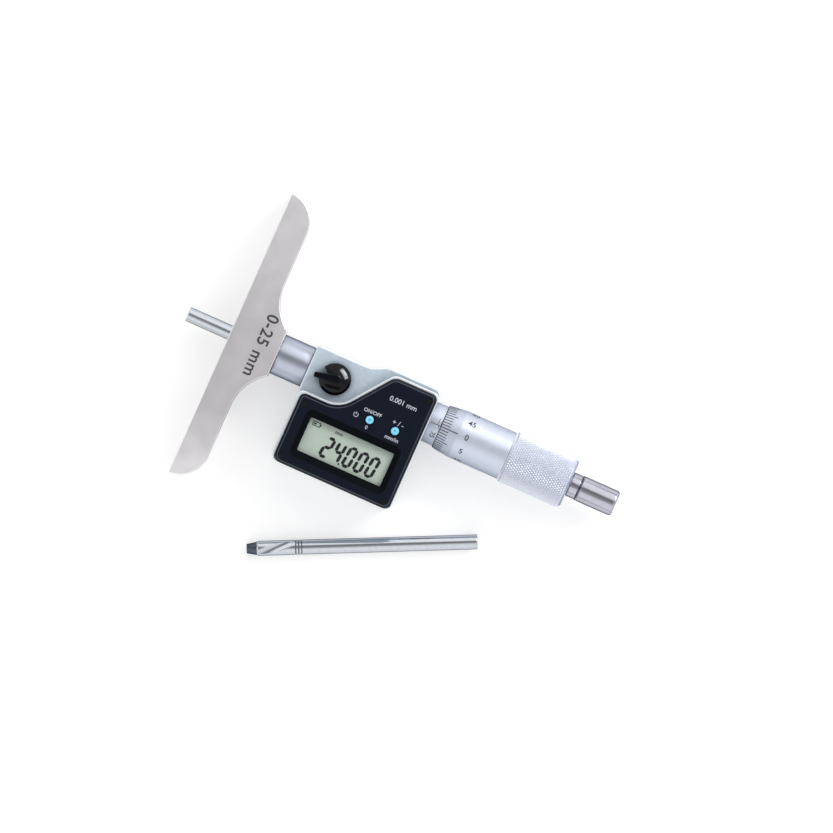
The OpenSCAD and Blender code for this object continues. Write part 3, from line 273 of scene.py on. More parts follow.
def moved(x, y, z, turn=0.0):
    """A matrix that turns about Z, in degrees, and then moves, in millimetres."""
    return Matrix.Translation(Vector((x, y, z)) * MM) @ Matrix.Rotation(math.radians(turn), 4, "Z")


def arc(centre, r, start, end, steps):
    """Points on an arc, angles in degrees."""
    angles = [math.radians(start + (end - start) * i / steps) for i in range(steps + 1)]
    return [(centre[0] + r * math.cos(a), centre[1] + r * math.sin(a)) for a in angles]


def quarter(steps):
    """Angles from 0 to a right angle, in radians."""
    return [math.pi / 2 * i / steps for i in range(steps + 1)]


def circle(segments):
    """Points round a circle of radius 1."""
    turns = [2 * math.pi * s / segments for s in range(segments)]
    return [(math.cos(a), math.sin(a)) for a in turns]


def corner_arc(before, at, after, steps):
    """Rounds one corner. A corner is (x, y, radius)."""
    p = Vector(at[:2])
    u = (Vector(before[:2]) - p).normalized()
    v = (Vector(after[:2]) - p).normalized()
    r = at[2]
    if r <= 0 or abs(u.cross(v)) < 1e-6:
        return [tuple(p)]
    half = math.acos(max(-1, min(1, u.dot(v)))) / 2
    centre = p + (u + v).normalized() * (r / math.sin(half))
    start = p + u * (r / math.tan(half)) - centre
    end = p + v * (r / math.tan(half)) - centre
    first = math.atan2(start.y, start.x)
    turn = (math.atan2(end.y, end.x) - first + math.pi) % (2 * math.pi) - math.pi
    angles = [first + turn * i / steps for i in range(steps + 1)]
    return [(centre.x + r * math.cos(a), centre.y + r * math.sin(a)) for a in angles]


def rounded(corners, steps=8, closed=True):
    n = len(corners)
    points = []
    for i, corner in enumerate(corners):
        if not closed and i in (0, n - 1):
            points.append(tuple(corner[:2]))
        else:
            points += corner_arc(corners[i - 1], corner, corners[(i + 1) % n], steps)
    return points


def drawn_in(points, d):
    """A closed anticlockwise outline moved inwards by d, point for point."""
    n = len(points)
    result = []
    for i in range(n):
        a, b, c = (Vector(points[(i + k) % n]) for k in (-1, 0, 1))
        u, v = (b - a).normalized(), (c - b).normalized()
        inward = Vector((-u.y - v.y, u.x + v.x))
        result.append(tuple(b + inward * (d / max(0.2, 1 + u.dot(v)))))
    return result


def loft(name, outlines, body, mat, smooth=35):
    """A closed solid through (outline, height) pairs from the bottom up, all with as many points."""
    n = len(outlines[0][0])
    vertices = [(x, y, height) for outline, height in outlines for x, y in outline]
    faces = [list(range(n))[::-1], [(len(outlines) - 1) * n + i for i in range(n)]]
    for k in range(len(outlines) - 1):
        for i in range(n):
            j = (i + 1) % n
            faces.append((k * n + i, k * n + j, (k + 1) * n + j, (k + 1) * n + i))
    return make(name, vertices, faces, body, mat, smooth)


def layered(name, outline, layers, body, mat, smooth=35):
    """A closed solid from one outline: layers are (inward offset, height) from the bottom up."""
    outlines = [(drawn_in(outline, offset), height) for offset, height in layers]
    return loft(name, outlines, body, mat, smooth)


def edge_layers(z0, z1, r_low, r_high, steps=4):
    """Layers of a slab with rounded lower and upper edges."""
    lower = [(r_low * (1 - math.sin(a)), z0 + r_low * (1 - math.cos(a))) for a in quarter(steps)]
    upper = [(r_high * (1 - math.cos(a)), z1 - r_high * (1 - math.sin(a))) for a in quarter(steps)]
    return lower + upper


def lathe(name, profile, body, mat, segments=160, smooth=35):
    """A closed body of revolution about X, from (x, radius) points round its section."""
    rings = []
    vertices = []
    for x, r in profile:
        if r < 1e-6:
            rings.append([len(vertices)] * segments)
            vertices.append((x, 0, 0))
        else:
            rings.append(list(range(len(vertices), len(vertices) + segments)))
            vertices += [(x, r * c, r * s) for c, s in circle(segments)]
    faces = []
    for k, a in enumerate(rings):
        b = rings[(k + 1) % len(rings)]
        for s in range(segments):
            t = (s + 1) % segments
            face = list(dict.fromkeys((a[s], a[t], b[t], b[s])))
            if len(face) > 2:
                faces.append(face)
    return make(name, vertices, faces, body, mat, smooth)


def carve(obj, cutters, operation="DIFFERENCE", smooth=35):
    """Cuts other pieces out of obj, or joins them to it, for good. The work is done a thousand times larger,
    because the cutting loses faces at true size."""
    for item in [obj] + cutters:
        item.data.transform(Matrix.Scale(1 / MM, 4) @ item.matrix_basis)
        item.matrix_basis = Matrix.Identity(4)
    for cutter in cutters:
        mod = obj.modifiers.new("carve", "BOOLEAN")
        mod.operation = operation
        mod.solver = "EXACT"
        mod.object = cutter
    result = evaluated_mesh(obj)
    obj.modifiers.clear()
    obj.data = result
    result.transform(Matrix.Scale(MM, 4))
    finish_mesh(result, smooth)
    for cutter in cutters:
        bpy.data.objects.remove(cutter)


def mark_faces(obj, mat, test):
    """Gives a second finish to the faces where test(centre, normal) holds, with centres in millimetres."""
    obj.data.materials.append(mat)
    for face in obj.data.polygons:
        if test(face.center / MM, face.normal):
            face.material_index = len(obj.data.materials) - 1


def bevel(obj, width, segments=2, angle=30):
    """Rounds the edges that are sharper than angle degrees."""
    mod = obj.modifiers.new("edges", "BEVEL")
    mod.width = width * MM
    mod.segments = segments
    mod.limit_method = "ANGLE"
    mod.angle_limit = math.radians(angle)
    mod.harden_normals = True


def prism(outline, z0, z1, narrower=0.0):
    """An upright cutter. It may start narrower than the outline."""
    return layered("cutter", outline, [(narrower, z0), (0, z1)], None, enamel)


def disc(x, y, r, z0, z1, r_top=None):
    """An upright round cutter, which may widen to r_top."""
    ends = ((r, z0), (r_top or r, z1))
    rings = [([(x + radius * c, y + radius * s) for c, s in circle(48)], z) for radius, z in ends]
    return loft("cutter", rings, None, enamel)


def bar(x0, x1, r, segments=96):
    """A round cutter along the spindle axis."""
    n = segments
    vertices = [(x, r * c, r * s) for x in (x0, x1) for c, s in circle(n)]
    faces = [list(range(n))[::-1], list(range(n, 2 * n))]
    faces += [(i, (i + 1) % n, n + (i + 1) % n, n + i) for i in range(n)]
    return make("cutter", vertices, faces, None, enamel)


def block(x0, y0, x1, y1):
    return [(x0, y0), (x1, y0), (x1, y1), (x0, y1)]


def rectangle(x, y, w, h, r):
    """A rounded rectangle about x, y."""
    corners = block(x - w / 2, y - h / 2, x + w / 2, y + h / 2)
    return rounded([(u, v, r) for u, v in corners], 10)


# Lettering: plain figures and units, as thin relief

CAPITAL_SHARE = 0.72


def text_mesh(words, height, bold=0.0, spacing=1.0):
    """A flat word centred on the origin, as a bmesh in millimetres. height is a capital's."""
    curve = bpy.data.curves.new("word", "FONT")
    curve.body = words
    curve.align_x = curve.align_y = "CENTER"
    curve.size = height / CAPITAL_SHARE
    curve.offset = bold
    curve.space_character = spacing
    curve.resolution_u = 4
    obj = bpy.data.objects.new("word", curve)
    bpy.context.scene.collection.objects.link(obj)
    work = bmesh.new()
    work.from_mesh(evaluated_mesh(obj))
    bpy.data.objects.remove(obj)
    heights = [v.co.y for v in work.verts]
    middle = (min(heights) + max(heights)) / 2
    for v in work.verts:
        v.co.y -= middle
    return work


def lettering(name, words, body, mat, slot, height, place, thickness=0.03, bold=0.0, spacing=1.0):
    relief(name, text_mesh(words, height, bold, spacing), body, mat, slot, place, thickness)


def relief(name, work, body, mat, slot, place, thickness):
    """Raises a flat bmesh drawing by thickness and lays it on the object. place turns a flat point (u, v, w),
    w being the height above the surface, into a place on the object."""
    raised = bmesh.ops.extrude_face_region(work, geom=list(work.faces))
    for item in raised["geom"]:
        if isinstance(item, bmesh.types.BMVert):
            item.co.z += thickness
    for v in work.verts:
        v.co = Vector(place(v.co.x, v.co.y, v.co.z)) * MM
    mesh = bpy.data.meshes.new(name)
    work.to_mesh(mesh)
    work.free()
    add_piece(name, mesh, body, mat, 35)


def painted(name, work, body, place, thickness):
    """Lines or a figure of a scale, in dark paint."""
    relief(name, work, body, scale_paint, "black_oxide_steel", place, thickness)


def flat_place(x, y, z, turn=0.0):
    """Lays a drawing on a face that looks to +Z, turned anticlockwise in degrees."""
    c, s = math.cos(math.radians(turn)), math.sin(math.radians(turn))
    return lambda u, v, w: (x + u * c - v * s, y + u * s + v * c, z + w)


def round_place(x, angle, radius, turn=0.0):
    """Wraps a drawing round the spindle axis. radius(x) gives the surface. Angle 0 is the front, and +Y is
    positive."""
    c, s = math.cos(math.radians(turn)), math.sin(math.radians(turn))

    def place(u, v, w):
        along, across = u * c - v * s, u * s + v * c
        r = radius(x + along)
        a = math.radians(angle) + across / r
        return (x + along, (r + w) * math.sin(a), (r + w) * math.cos(a))

    return place


def drawing(polygons):
    """A flat bmesh from polygons of (u, v) points."""
    work = bmesh.new()
    for points in polygons:
        work.faces.new([work.verts.new((u, v, 0)) for u, v in points])
    bmesh.ops.remove_doubles(work, verts=work.verts, dist=1e-5)
    return work


def slice_up(work, step):
    """Cuts a drawing into bands so that it bends round a curved surface."""
    heights = [v.co.y for v in work.verts]
    level = min(heights) + step
    while level < max(heights):
        geometry = list(work.verts) + list(work.edges) + list(work.faces)
        bmesh.ops.bisect_plane(work, geom=geometry, plane_co=(0, level, 0), plane_no=(0, 1, 0))
        level += step
    return work


# Camera: a long lens straight above, turned so that the spindle axis falls to the lower right

PHOTO_SIDE = 833
PIXELS_PER_MM = 3.008
PHOTO_TURN = 24.0
ORIGIN_PIXEL = (230.06, 332.55)
CAMERA_HEIGHT = 5000.0
FOCUS_Z = 8.5


def aim_camera():
    turn = math.radians(PHOTO_TURN)
    dx = (PHOTO_SIDE / 2 - ORIGIN_PIXEL[0]) / PIXELS_PER_MM
    dy = (PHOTO_SIDE / 2 - ORIGIN_PIXEL[1]) / PIXELS_PER_MM
    x = dx * math.cos(turn) + dy * math.sin(turn)
    y = dx * math.sin(turn) - dy * math.cos(turn)
    data = bpy.data.cameras.new("camera")
    data.lens = data.sensor_width * CAMERA_HEIGHT / (PHOTO_SIDE / PIXELS_PER_MM)
    data.clip_start, data.clip_end = 0.1, 20
    camera = bpy.data.objects.new("camera", data)
    camera.location = Vector((x, y, FOCUS_Z + CAMERA_HEIGHT)) * MM
    camera.rotation_euler = (0, 0, turn)
    bpy.context.scene.collection.objects.link(camera)
    bpy.context.scene.camera = camera


aim_camera()

# Base

# Radius of the seats for the ends of the tube, in the base and in the casting
SPIGOT_R = 6.0


def base_outline(steps=28):
    """A hub with a hollow on each side of it, and arms with rounded ends."""
    half = high("base", Y)
    hub_h, hub_w = high("base", X), 16.2
    hollow_r, arm_h, end_r = 17.0, 10.0, 10.2
    end_y = half - math.sqrt(end_r**2 - (end_r - arm_h) ** 2)
    end_turn = math.degrees(math.acos((end_r - arm_h) / end_r))
    rise = hub_h - arm_h
    hollow_y = hub_w / 2 + math.sqrt(hollow_r**2 - (hollow_r - rise) ** 2)
    hollow_turn = math.degrees(math.acos((hollow_r - rise) / hollow_r))
    hollow = arc((arm_h + hollow_r, hollow_y), hollow_r, 180 + hollow_turn, 180, steps)
    end = arc((arm_h - end_r, end_y), end_r, 0, end_turn, steps)
    upper = hollow + end
    lower = [(x, -y) for x, y in reversed(upper)]
    return lower + upper


def make_base():
    half_z = high("base", Z)
    edge_r = 0.35
    base = layered("base_body", base_outline(), edge_layers(-half_z, half_z, edge_r, edge_r, 3), "frame",
                   ground_steel, 40)
    bush_x, bush_r = high("guide_bush", X), high("guide_bush", Y) + SEAT
    carve(base, [bar(-PAST, bush_x, bush_r), bar(bush_x, 30, SPIGOT_R)], smooth=40)
    # The rounded edges of the base take the paler steel: a painted highlight.
    mark_faces(base, ground_edge_highlight, lambda c, n: abs(c.z) > half_z - edge_r + 0.01 and 0.2 < abs(n.z) < 0.97)
    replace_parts(base, "base")
    lettering("range_engraving", "0-25 mm", "frame", engraving_fill_and_edge_shade, "black_oxide_steel", 4.1,
              flat_place(11.2, 0.2, half_z - SEAT, -90), 0.03, 0.09, 1.08)


make_base()

# Turned pieces: tube, sleeve, thimble, ratchet, rods


def make_tube():
    x0, x1 = extent("connecting_tube", X)
    r, end_r, seal_r, bore_r = high("connecting_tube", Y), SPIGOT_R - SEAT, 5.2, 4.3
    hub, nose = high("base", X) + SEAT, low("frame_casting", X) - SEAT
    seal_x = low("wiper_seal", X) - SEAT
    section = rounded([
        (x0, bore_r, 0), (x0, end_r, 0), (hub, end_r, 0), (hub, r, 0.25), (nose, r, 0.25), (nose, end_r, 0),
        (x1, end_r, 0), (x1, seal_r, 0), (seal_x, seal_r, 0), (seal_x, bore_r, 0)], 4)
    tube = lathe("tube", section, "frame", tube_chrome)
    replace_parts(tube, "connecting_tube")


THIMBLE_X = low("thimble", X)
# The thimble's edge stands at this place of the sleeve's scale
READING = 24


def make_sleeve():
    x0, x1 = extent("graduated_sleeve", X)
    r = high("graduated_sleeve", Y)
    inner = r - 0.7
    section = rounded([(x0, inner, 0), (x0, r, 0.15), (x1, r, 0.3), (x1, inner, 0)], 3)
    sleeve = lathe("sleeve", section, "frame", satin_chrome)
    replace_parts(sleeve, "graduated_sleeve")
    zero_x, first_x = THIMBLE_X + READING, x0 + 0.6
    index, half, paint = 0.1, 0.08, 0.012
    marks = [block(first_x, -index, zero_x + 0.8, index)]
    for i in range(51):
        x = zero_x - 0.5 * i
        length = 2.4 if i % 10 == 0 else 1.7 if i % 2 == 0 else 1.0
        v0, v1 = (index, length) if i % 2 == 0 else (-length, -index)
        if x > first_x:
            marks.append(block(x - half, v0, x + half, v1))
    painted("sleeve_scale", slice_up(drawing(marks), 0.4), "frame", round_place(0, 0, lambda x: r), paint)
    figure_y, last_shift = -3.9, 0.35
    for k in range(6):
        work = slice_up(text_mesh(str(5 * k), 1.7, 0.04), 0.3)
        x = zero_x - 5 * k - (last_shift if k == 5 else 0)
        place = round_place(x, math.degrees(figure_y / r), lambda x: r, -90)
        painted(f"sleeve_figure_{5 * k}", work, "frame", place, paint)


THIMBLE_EDGE_R = 7.55
THIMBLE_R = 8.35
THIMBLE_LINES = 50
TAPER_LEN = 6.4
SHOULDER_LEN = 1.6
SHOULDER_DROP = 0.15
GRIP_FROM = 24.7
KNURL_ROWS = 29
KNURL_ROUND = 60
KNURL_DEPTH = 0.28
KNURL_FLAT = 0.3
GRIP_R = high("thimble", Y)
GRIP_END_X = high("thimble", X)
GRIP_END_ROUND = 1.7


def thimble_radius(x):
    """Radius of the thimble's taper and smooth barrel."""
    along = x - THIMBLE_X
    slope_len = TAPER_LEN - SHOULDER_LEN
    if along < slope_len:
        return THIMBLE_EDGE_R + (THIMBLE_R - SHOULDER_DROP - THIMBLE_EDGE_R) * max(0, along) / slope_len
    return THIMBLE_R - SHOULDER_DROP * max(0, TAPER_LEN - along) / SHOULDER_LEN


def grip_radius(x):
    """Radius of the grip with its rounded end."""
    past = max(0, x - GRIP_END_X + GRIP_END_ROUND)
    return GRIP_R - GRIP_END_ROUND + math.sqrt(max(0, GRIP_END_ROUND**2 - past**2))


def make_thimble():
    x0, x1 = THIMBLE_X, GRIP_END_X
    grip_x = x0 + GRIP_FROM
    edge, bore_r = 0.3, 7.2
    cone_x, cone_r = x1 - 11.5, 3.52
    stem_x, stem_r = x1 - 5.7, 2.82
    knurl_from, knurl_to = grip_x + 0.12, x1 - 0.4
    core = KNURL_DEPTH + 0.03
    round_from = x1 - GRIP_END_ROUND
    sunk = [round_from + (knurl_to - 0.1 - round_from) * i / 6 for i in range(7)]
    end = [knurl_to + (x1 - knurl_to) * math.sin(a) for a in quarter(5)]
    taper = [(x0, bore_r, 0), (x0, THIMBLE_EDGE_R - edge, 0), (x0 + edge, THIMBLE_EDGE_R, 0),
             (x0 + TAPER_LEN - SHOULDER_LEN, THIMBLE_R - SHOULDER_DROP, 6), (x0 + TAPER_LEN, THIMBLE_R, 6)]
    grip = [(grip_x - 0.45, THIMBLE_R, 0.1), (grip_x, GRIP_R, 0.1), (knurl_from, GRIP_R, 0.02),
            (knurl_from + 0.3, GRIP_R - core, 0)]
    grip += [(x, grip_radius(x) - core, 0) for x in sunk] + [(x, grip_radius(x) - 0.02, 0) for x in end]
    inside = [(x1, stem_r, 0), (stem_x, stem_r, 0), (cone_x, cone_r, 0), (cone_x, bore_r, 0)]
    thimble = lathe("thimble_barrel", rounded(taper + grip + inside, 5), "screw_spindle", satin_chrome,
                    192, 28)
    # The thimble's front chamfer takes the dark engraving paint: painted shade where the thimble's edge meets
    # the sleeve.
    mark_faces(thimble, engraving_fill_and_edge_shade, lambda c, n: c.x < x0 + edge and c.yz.length > THIMBLE_EDGE_R - 0.35)
    mark_faces(thimble, taper_chrome,
               lambda c, n: x0 + edge < c.x < x0 + TAPER_LEN and c.yz.length > THIMBLE_EDGE_R)
    # The grip's shoulder facing the taper takes the paler steel: a painted highlight.
    mark_faces(thimble, ground_edge_highlight, lambda c, n: abs(c.x - grip_x + 0.2) < 0.3 and n.x < -0.2)
    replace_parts(thimble, "thimble")
    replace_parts(make_knurl(knurl_from, knurl_to), "thimble")
    mark_thimble(x0)


def mark_thimble(x0):
    """The scale round the thimble's taper, and its figures."""
    line_from, figure_x, paint = x0 + 0.32, x0 + 9.5, 0.014
    wrap_r = thimble_radius(x0 + 3)
    pitch = 2 * math.pi * wrap_r / THIMBLE_LINES
    lines = []
    for i in range(THIMBLE_LINES):
        length = 5.9 if i == 0 else 4.0 if i % 5 == 0 else 2.9
        half = 0.14 if i else 0.16
        steps = [line_from + length * k / 8 for k in range(9)]
        lines += [block(u0, -pitch * i - half, u1, -pitch * i + half) for u0, u1 in zip(steps, steps[1:])]

    def taper_place(u, v, w):
        a = v / wrap_r
        r = thimble_radius(u) + w
        return (u, r * math.sin(a), r * math.cos(a))

    painted("thimble_scale", drawing(lines), "screw_spindle", taper_place, paint)
    for k in range(10):
        work = slice_up(text_mesh(str(5 * k), 2.0, 0.045), 0.3)
        place = round_place(figure_x, -36 * k, thimble_radius)
        painted(f"thimble_figure_{5 * k}", work, "screw_spindle", place, paint)


def make_knurl(x0, x1):
    """Diamond knurl: rows of flat-topped pyramids, every second row shifted by half a diamond."""
    step = (x1 - x0) / KNURL_ROWS
    vertices, faces, feet = [], [], {}

    def add(column, row, depth):
        a = math.pi * column / KNURL_ROUND
        x = x0 + step * row
        r = grip_radius(x) - depth
        vertices.append((x, r * math.sin(a), r * math.cos(a)))
        return len(vertices) - 1

    def foot(column, row):
        key = (column % (2 * KNURL_ROUND), row)
        if key not in feet:
            feet[key] = add(column, row, KNURL_DEPTH)
        return feet[key]

    for row in range(1, KNURL_ROWS):
        for i in range(KNURL_ROUND):
            column = 2 * i + row % 2
            sides = ((0, -1), (1, 0), (0, 1), (-1, 0))
            base = [foot(column + u, row + v) for u, v in sides]
            top = [add(column + KNURL_FLAT * u, row + KNURL_FLAT * v, 0) for u, v in sides]
            faces.append(top)
            faces += [(base[s], base[(s + 1) % 4], top[(s + 1) % 4], top[s]) for s in range(4)]
    return make("thimble_knurl", vertices, faces, "screw_spindle", knurl_chrome, 15)


def make_ratchet():
    x0, x1 = low("ratchet_body", X), low("ratchet_ring", X) - 0.05
    r = high("ratchet_body", Y)
    stem_x, stem_r = high("thimble", X) + 0.1, 2.8
    hub_x, hub_r = high("ratchet_ring", X) + 0.7, 2.4
    pin_x, pin_r = high("ratchet_body", X), 1.6
    neck = lathe("ratchet_neck", rounded([
        (x0, 0, 0), (x0, stem_r, 0), (stem_x, stem_r, 0), (stem_x, r, 0.25), (x1, r, 0.25), (x1, hub_r, 0),
        (hub_x, hub_r, 0), (hub_x, pin_r, 0), (pin_x, pin_r, 0), (pin_x, 0, 0)], 4),
        "screw_spindle", polished_steel)
    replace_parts(neck, "ratchet_body")
    x0, x1 = extent("ratchet_knob", X)
    r, cap_r, room_r, bore_r = high("ratchet_knob", Y), 2.9, 2.7, 1.65
    skirt_r = r - 1
    cap_x = low("ratchet_end_cap", X) - SEAT
    web_x = x0 + 7.2
    room_x = web_x + 1.2
    knob = lathe("ratchet_grip", rounded([
        (x0, skirt_r, 0), (x0, r, 0.3), (x1, r, 0.95), (x1, cap_r, 0.12), (cap_x, cap_r, 0),
        (cap_x, room_r, 0), (room_x, room_r, 0), (room_x, bore_r, 0), (web_x, bore_r, 0),
        (web_x, skirt_r, 0)], 5),
        "ratchet_grip", polished_steel)
    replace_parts(knob, "ratchet_knob")
    x0, x1 = extent("ratchet_end_cap", X)
    r = cap_r - SEAT
    cap = lathe("ratchet_cap", rounded([(x0, 0, 0), (x0, r, 0), (x1, r, 0.3), (x1, 0, 0)], 4),
                "ratchet_grip", polished_steel)
    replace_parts(cap, "ratchet_end_cap")


ROD_R = 2.5
CONE_LEN = 3.4
RING_START = 16.2
RING_PITCH = 1.0
RING_W = 0.4
RING_DEPTH = 0.15
RING_SLOPE = 0.08
CATCH_AT = 9.6
CATCH_R = 2.1
CATCH_DEPTH = 0.85
CATCH_SLANT = 22.0
LOOSE_ROD_LEN = 77.0
LOOSE_ROD_TIP = (34.15, -63.6)
LOOSE_ROD_TURN = 25.7


def make_rod(name, length, place, body, nodes):
    """A measuring rod with its cone tip at the origin and its shaft along +X, then put in place."""
    rings = []
    floor_r = ROD_R - RING_DEPTH
    for i in range(3):
        x = RING_START + i * RING_PITCH
        rings += [(x, ROD_R, 0), (x + RING_SLOPE, floor_r, 0), (x + RING_W - RING_SLOPE, floor_r, 0),
                  (x + RING_W, ROD_R, 0)]
    foot = CONE_LEN + SEAT
    section = rounded([(foot, 0, 0), (foot, 2.25, 0), (CONE_LEN + 0.35, ROD_R, 0.2)] + rings
                      + [(length, ROD_R, 0.3), (length, 0, 0)], 4)
    shaft = lathe(name, section, None, hard_steel, 96)
    groove = bar(-15, 15, CATCH_R, 48)
    groove.matrix_basis = moved(CATCH_AT, 0, ROD_R - CATCH_DEPTH + CATCH_R, CATCH_SLANT)
    carve(shaft, [groove])
    mark_faces(shaft, groove_grey, lambda c, n: abs(n.x) < 0.5 and c.yz.length < ROD_R - 0.1
               and RING_START < c.x < RING_START + 3 * RING_PITCH)
    section = rounded([(0, 0, 0), (0, 1.6, 0.25), (CONE_LEN, 2.2, 0), (CONE_LEN, 0, 0)], 4)
    cone = lathe(name + "_seat", section, None, black_oxide, 96)
    for obj, node, slot in ((shaft, nodes[0], "hard_steel"), (cone, nodes[1], "black_oxide_steel")):
        obj.data.transform(place)
        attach(obj, body)
        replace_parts(obj, node)


def make_rods():
    fitted_end = high("measuring_rod_cone", X)
    make_rod("fitted_rod", fitted_end - low("measuring_rod", X), moved(fitted_end, 0, 0, 180), "fitted_rod",
             ("measuring_rod", "measuring_rod_cone"))
    place = moved(*LOOSE_ROD_TIP, low("spare_rod", Z) + ROD_R, LOOSE_ROD_TURN)
    make_rod("loose_rod", LOOSE_ROD_LEN, place, "loose_rod", ("spare_rod", "spare_rod_cone"))


make_tube()
make_sleeve()
make_thimble()
make_ratchet()
make_rods()

# Housing

COVER_LEFT, COVER_RIGHT = extent("front_cover", X)
COVER_BOTTOM, COVER_TOP = extent("front_cover", Y)
COVER_Z = high("front_cover", Z)
COVER_STEP = -8.4
SLANT_TOP_X = 56.4
SLANT_BOTTOM_X = 43.5
FRONT_Z = 8.3
LIP_H = 1.1
LOCK_X = 38.2
SLANT = math.atan2(COVER_TOP - COVER_STEP, SLANT_TOP_X - SLANT_BOTTOM_X)


def cover_outline(left=0.0, right=0.0, bottom=0.0, top=0.0):
    """The front cover's outline, grown by a margin on each side. Its corners are (x, y, radius)."""
    shift = top * math.tan(SLANT / 2)
    return rounded([
        (COVER_LEFT - left, COVER_BOTTOM - bottom, 3), (COVER_RIGHT + right, COVER_BOTTOM - bottom, 2.6),
        (COVER_RIGHT + right, COVER_TOP + top, 2.2), (SLANT_TOP_X - shift, COVER_TOP + top, 4),
        (SLANT_BOTTOM_X - shift, COVER_STEP + top, 10 - top), (COVER_LEFT - left, COVER_STEP + top, 1.8),
    ], 10)


def make_casting():
    nose_x, end_x = extent("frame_casting", X)
    shoulder_y, back_z = high("frame_casting", Y), low("frame_casting", Z)
    nose_low, nose_high = -8.6, 8.2
    slope_from, slope_to = 47.6, 53
    far_x = end_x - 0.05
    nose = rounded([
        (nose_x, nose_low, 1.2), (far_x, nose_low, 1.2), (far_x, shoulder_y, 2), (slope_to, shoulder_y, 6),
        (slope_from, nose_high, 8), (nose_x, nose_high, 1.2)], 10)
    casting = layered("casting", nose, edge_layers(-FRONT_Z, FRONT_Z, 0.8, 0.7), "frame", enamel)
    housing = layered("housing", cover_outline(1.0, end_x - COVER_RIGHT, 0, 0.9),
                      edge_layers(back_z, FRONT_Z + LIP_H, 1.2, 0.45), None, enamel)
    carve(casting, [housing], "UNION")
    gap, wall, back_wall = 0.12, 1.9, 1.7
    seat = prism(cover_outline(gap, gap, 1, gap), FRONT_Z, 30)
    tray = prism(cover_outline(-wall, -wall, -wall, -wall), back_z + back_wall, 20)
    pocket_end, bearing_end, bearing_r = 42.2, 51.7, 5.2
    sleeve_from, sleeve_r = 66, 6.33
    rotor_gap = 0.3
    lock_r = 1.95
    cap_x, cap_y = place_of("battery_cap")
    cap_r, cap_seat_z, well_r = 7.65, -7.9, 6.7
    cutters = [
        seat, tray,
        bar(nose_x - PAST, pocket_end, SPIGOT_R),
        bar(40, bearing_end, bearing_r),
        bar(sleeve_from, end_x + PAST, sleeve_r),
        bar(nose_x - PAST, end_x + PAST, high("spindle", Y) + 0.1),
        bar(low("encoder_stator", X) - rotor_gap, high("rotor_hub", X) + rotor_gap,
            high("encoder_rotor", Y) + rotor_gap),
        disc(LOCK_X, 0, lock_r, 0, 12),
        disc(cap_x, cap_y, cap_r, back_z - PAST, cap_seat_z),
        disc(cap_x, cap_y, well_r, -10, 0),
    ]
    carve(casting, cutters)

    # The lip's top and the slope up to it take the paler enamel: a painted highlight.
    def lip_highlight_faces(c, n):
        return c.z > FRONT_Z + 0.3 or (c.z > FRONT_Z - 0.6 and 0.35 < n.z < 0.95)

    mark_faces(casting, enamel_lip_highlight, lip_highlight_faces)
    bevel(casting, 0.12)
    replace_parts(casting, "frame_casting")


def make_cover():
    z0 = low("front_cover", Z)
    edge = [(0.1, z0), (0, z0 + 0.1), (0, COVER_Z - 0.85), (0.1, COVER_Z - 0.7), (0.65, COVER_Z - 0.1),
            (0.95, COVER_Z)]
    cover = layered("cover", cover_outline(), edge, "frame", cover_plastic, 10)
    wall = 1.5
    hollow = prism(cover_outline(-wall, -wall, -wall, -wall), z0 - PAST, COVER_Z - wall)
    window_x, window_y = place_of("display_window")
    surround_w, surround_h = 34.2, 17.0
    outer = rectangle(window_x, window_y, surround_w, surround_h, 2.2)
    inner = rectangle(window_x, window_y, 30.2, 11.9, 0.5)
    opening = loft("cutter", [(inner, COVER_Z - 3), (inner, COVER_Z - 0.9), (outer, COVER_Z - SEAT),
                              (outer, COVER_Z + PAST)], None, enamel)
    cutters = [hollow, opening]
    keys = [place_of("on_off_button"), place_of("unit_button")]
    key_r, ring_low_r, ring_r, ring_depth = 1.5, 1.75, 2.05, 0.3
    for x, y in keys:
        cutters.append(disc(x, y, key_r, 0, 20))
        cutters.append(disc(x, y, ring_low_r, COVER_Z - ring_depth, COVER_Z + PAST, ring_r))
    screw_r, head_r, head_depth = 0.8, 1.05, 1.3
    for x, y in screw_places():
        cutters.append(disc(x, y, screw_r, 0, 20))
        cutters.append(disc(x, y, head_r, COVER_Z - head_depth, COVER_Z + PAST))
    carve(cover, cutters, smooth=10)

    def sunken(c, n):
        at_window = abs(c.x - window_x) < surround_w / 2 and abs(c.y - window_y) < surround_h / 2
        at_key = min(math.dist(c.xy, key) for key in keys) < 2.1
        return c.z < COVER_Z - SEAT and (at_window or at_key)

    mark_faces(cover, cover_recess, sunken)
    # The cover's rounded top edge, outside the recesses, takes the paler plastic: a painted highlight.
    mark_faces(cover, cover_edge_highlight, lambda c, n: COVER_Z - 0.1 < c.z < COVER_Z - 0.01 and not sunken(c, n))
    bevel(cover, 0.1, 2, 25)
    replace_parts(cover, "front_cover")


def screw_places():
    return [(COVER_LEFT + 2.5, COVER_BOTTOM + 2.3), (COVER_RIGHT - 2.3, COVER_BOTTOM + 2.3),
            (COVER_LEFT + 2.5, COVER_STEP - 3.2), (COVER_RIGHT - 2.3, COVER_TOP - 2.6)]


make_casting()
make_cover()

# Buttons, lever, display


def upright(obj, smooth):
    """Stands a turned piece up, so that its axis points to +Z."""
    obj.data.transform(Matrix.Rotation(-math.pi / 2, 4, "Y"))
    finish_mesh(obj.data, smooth)


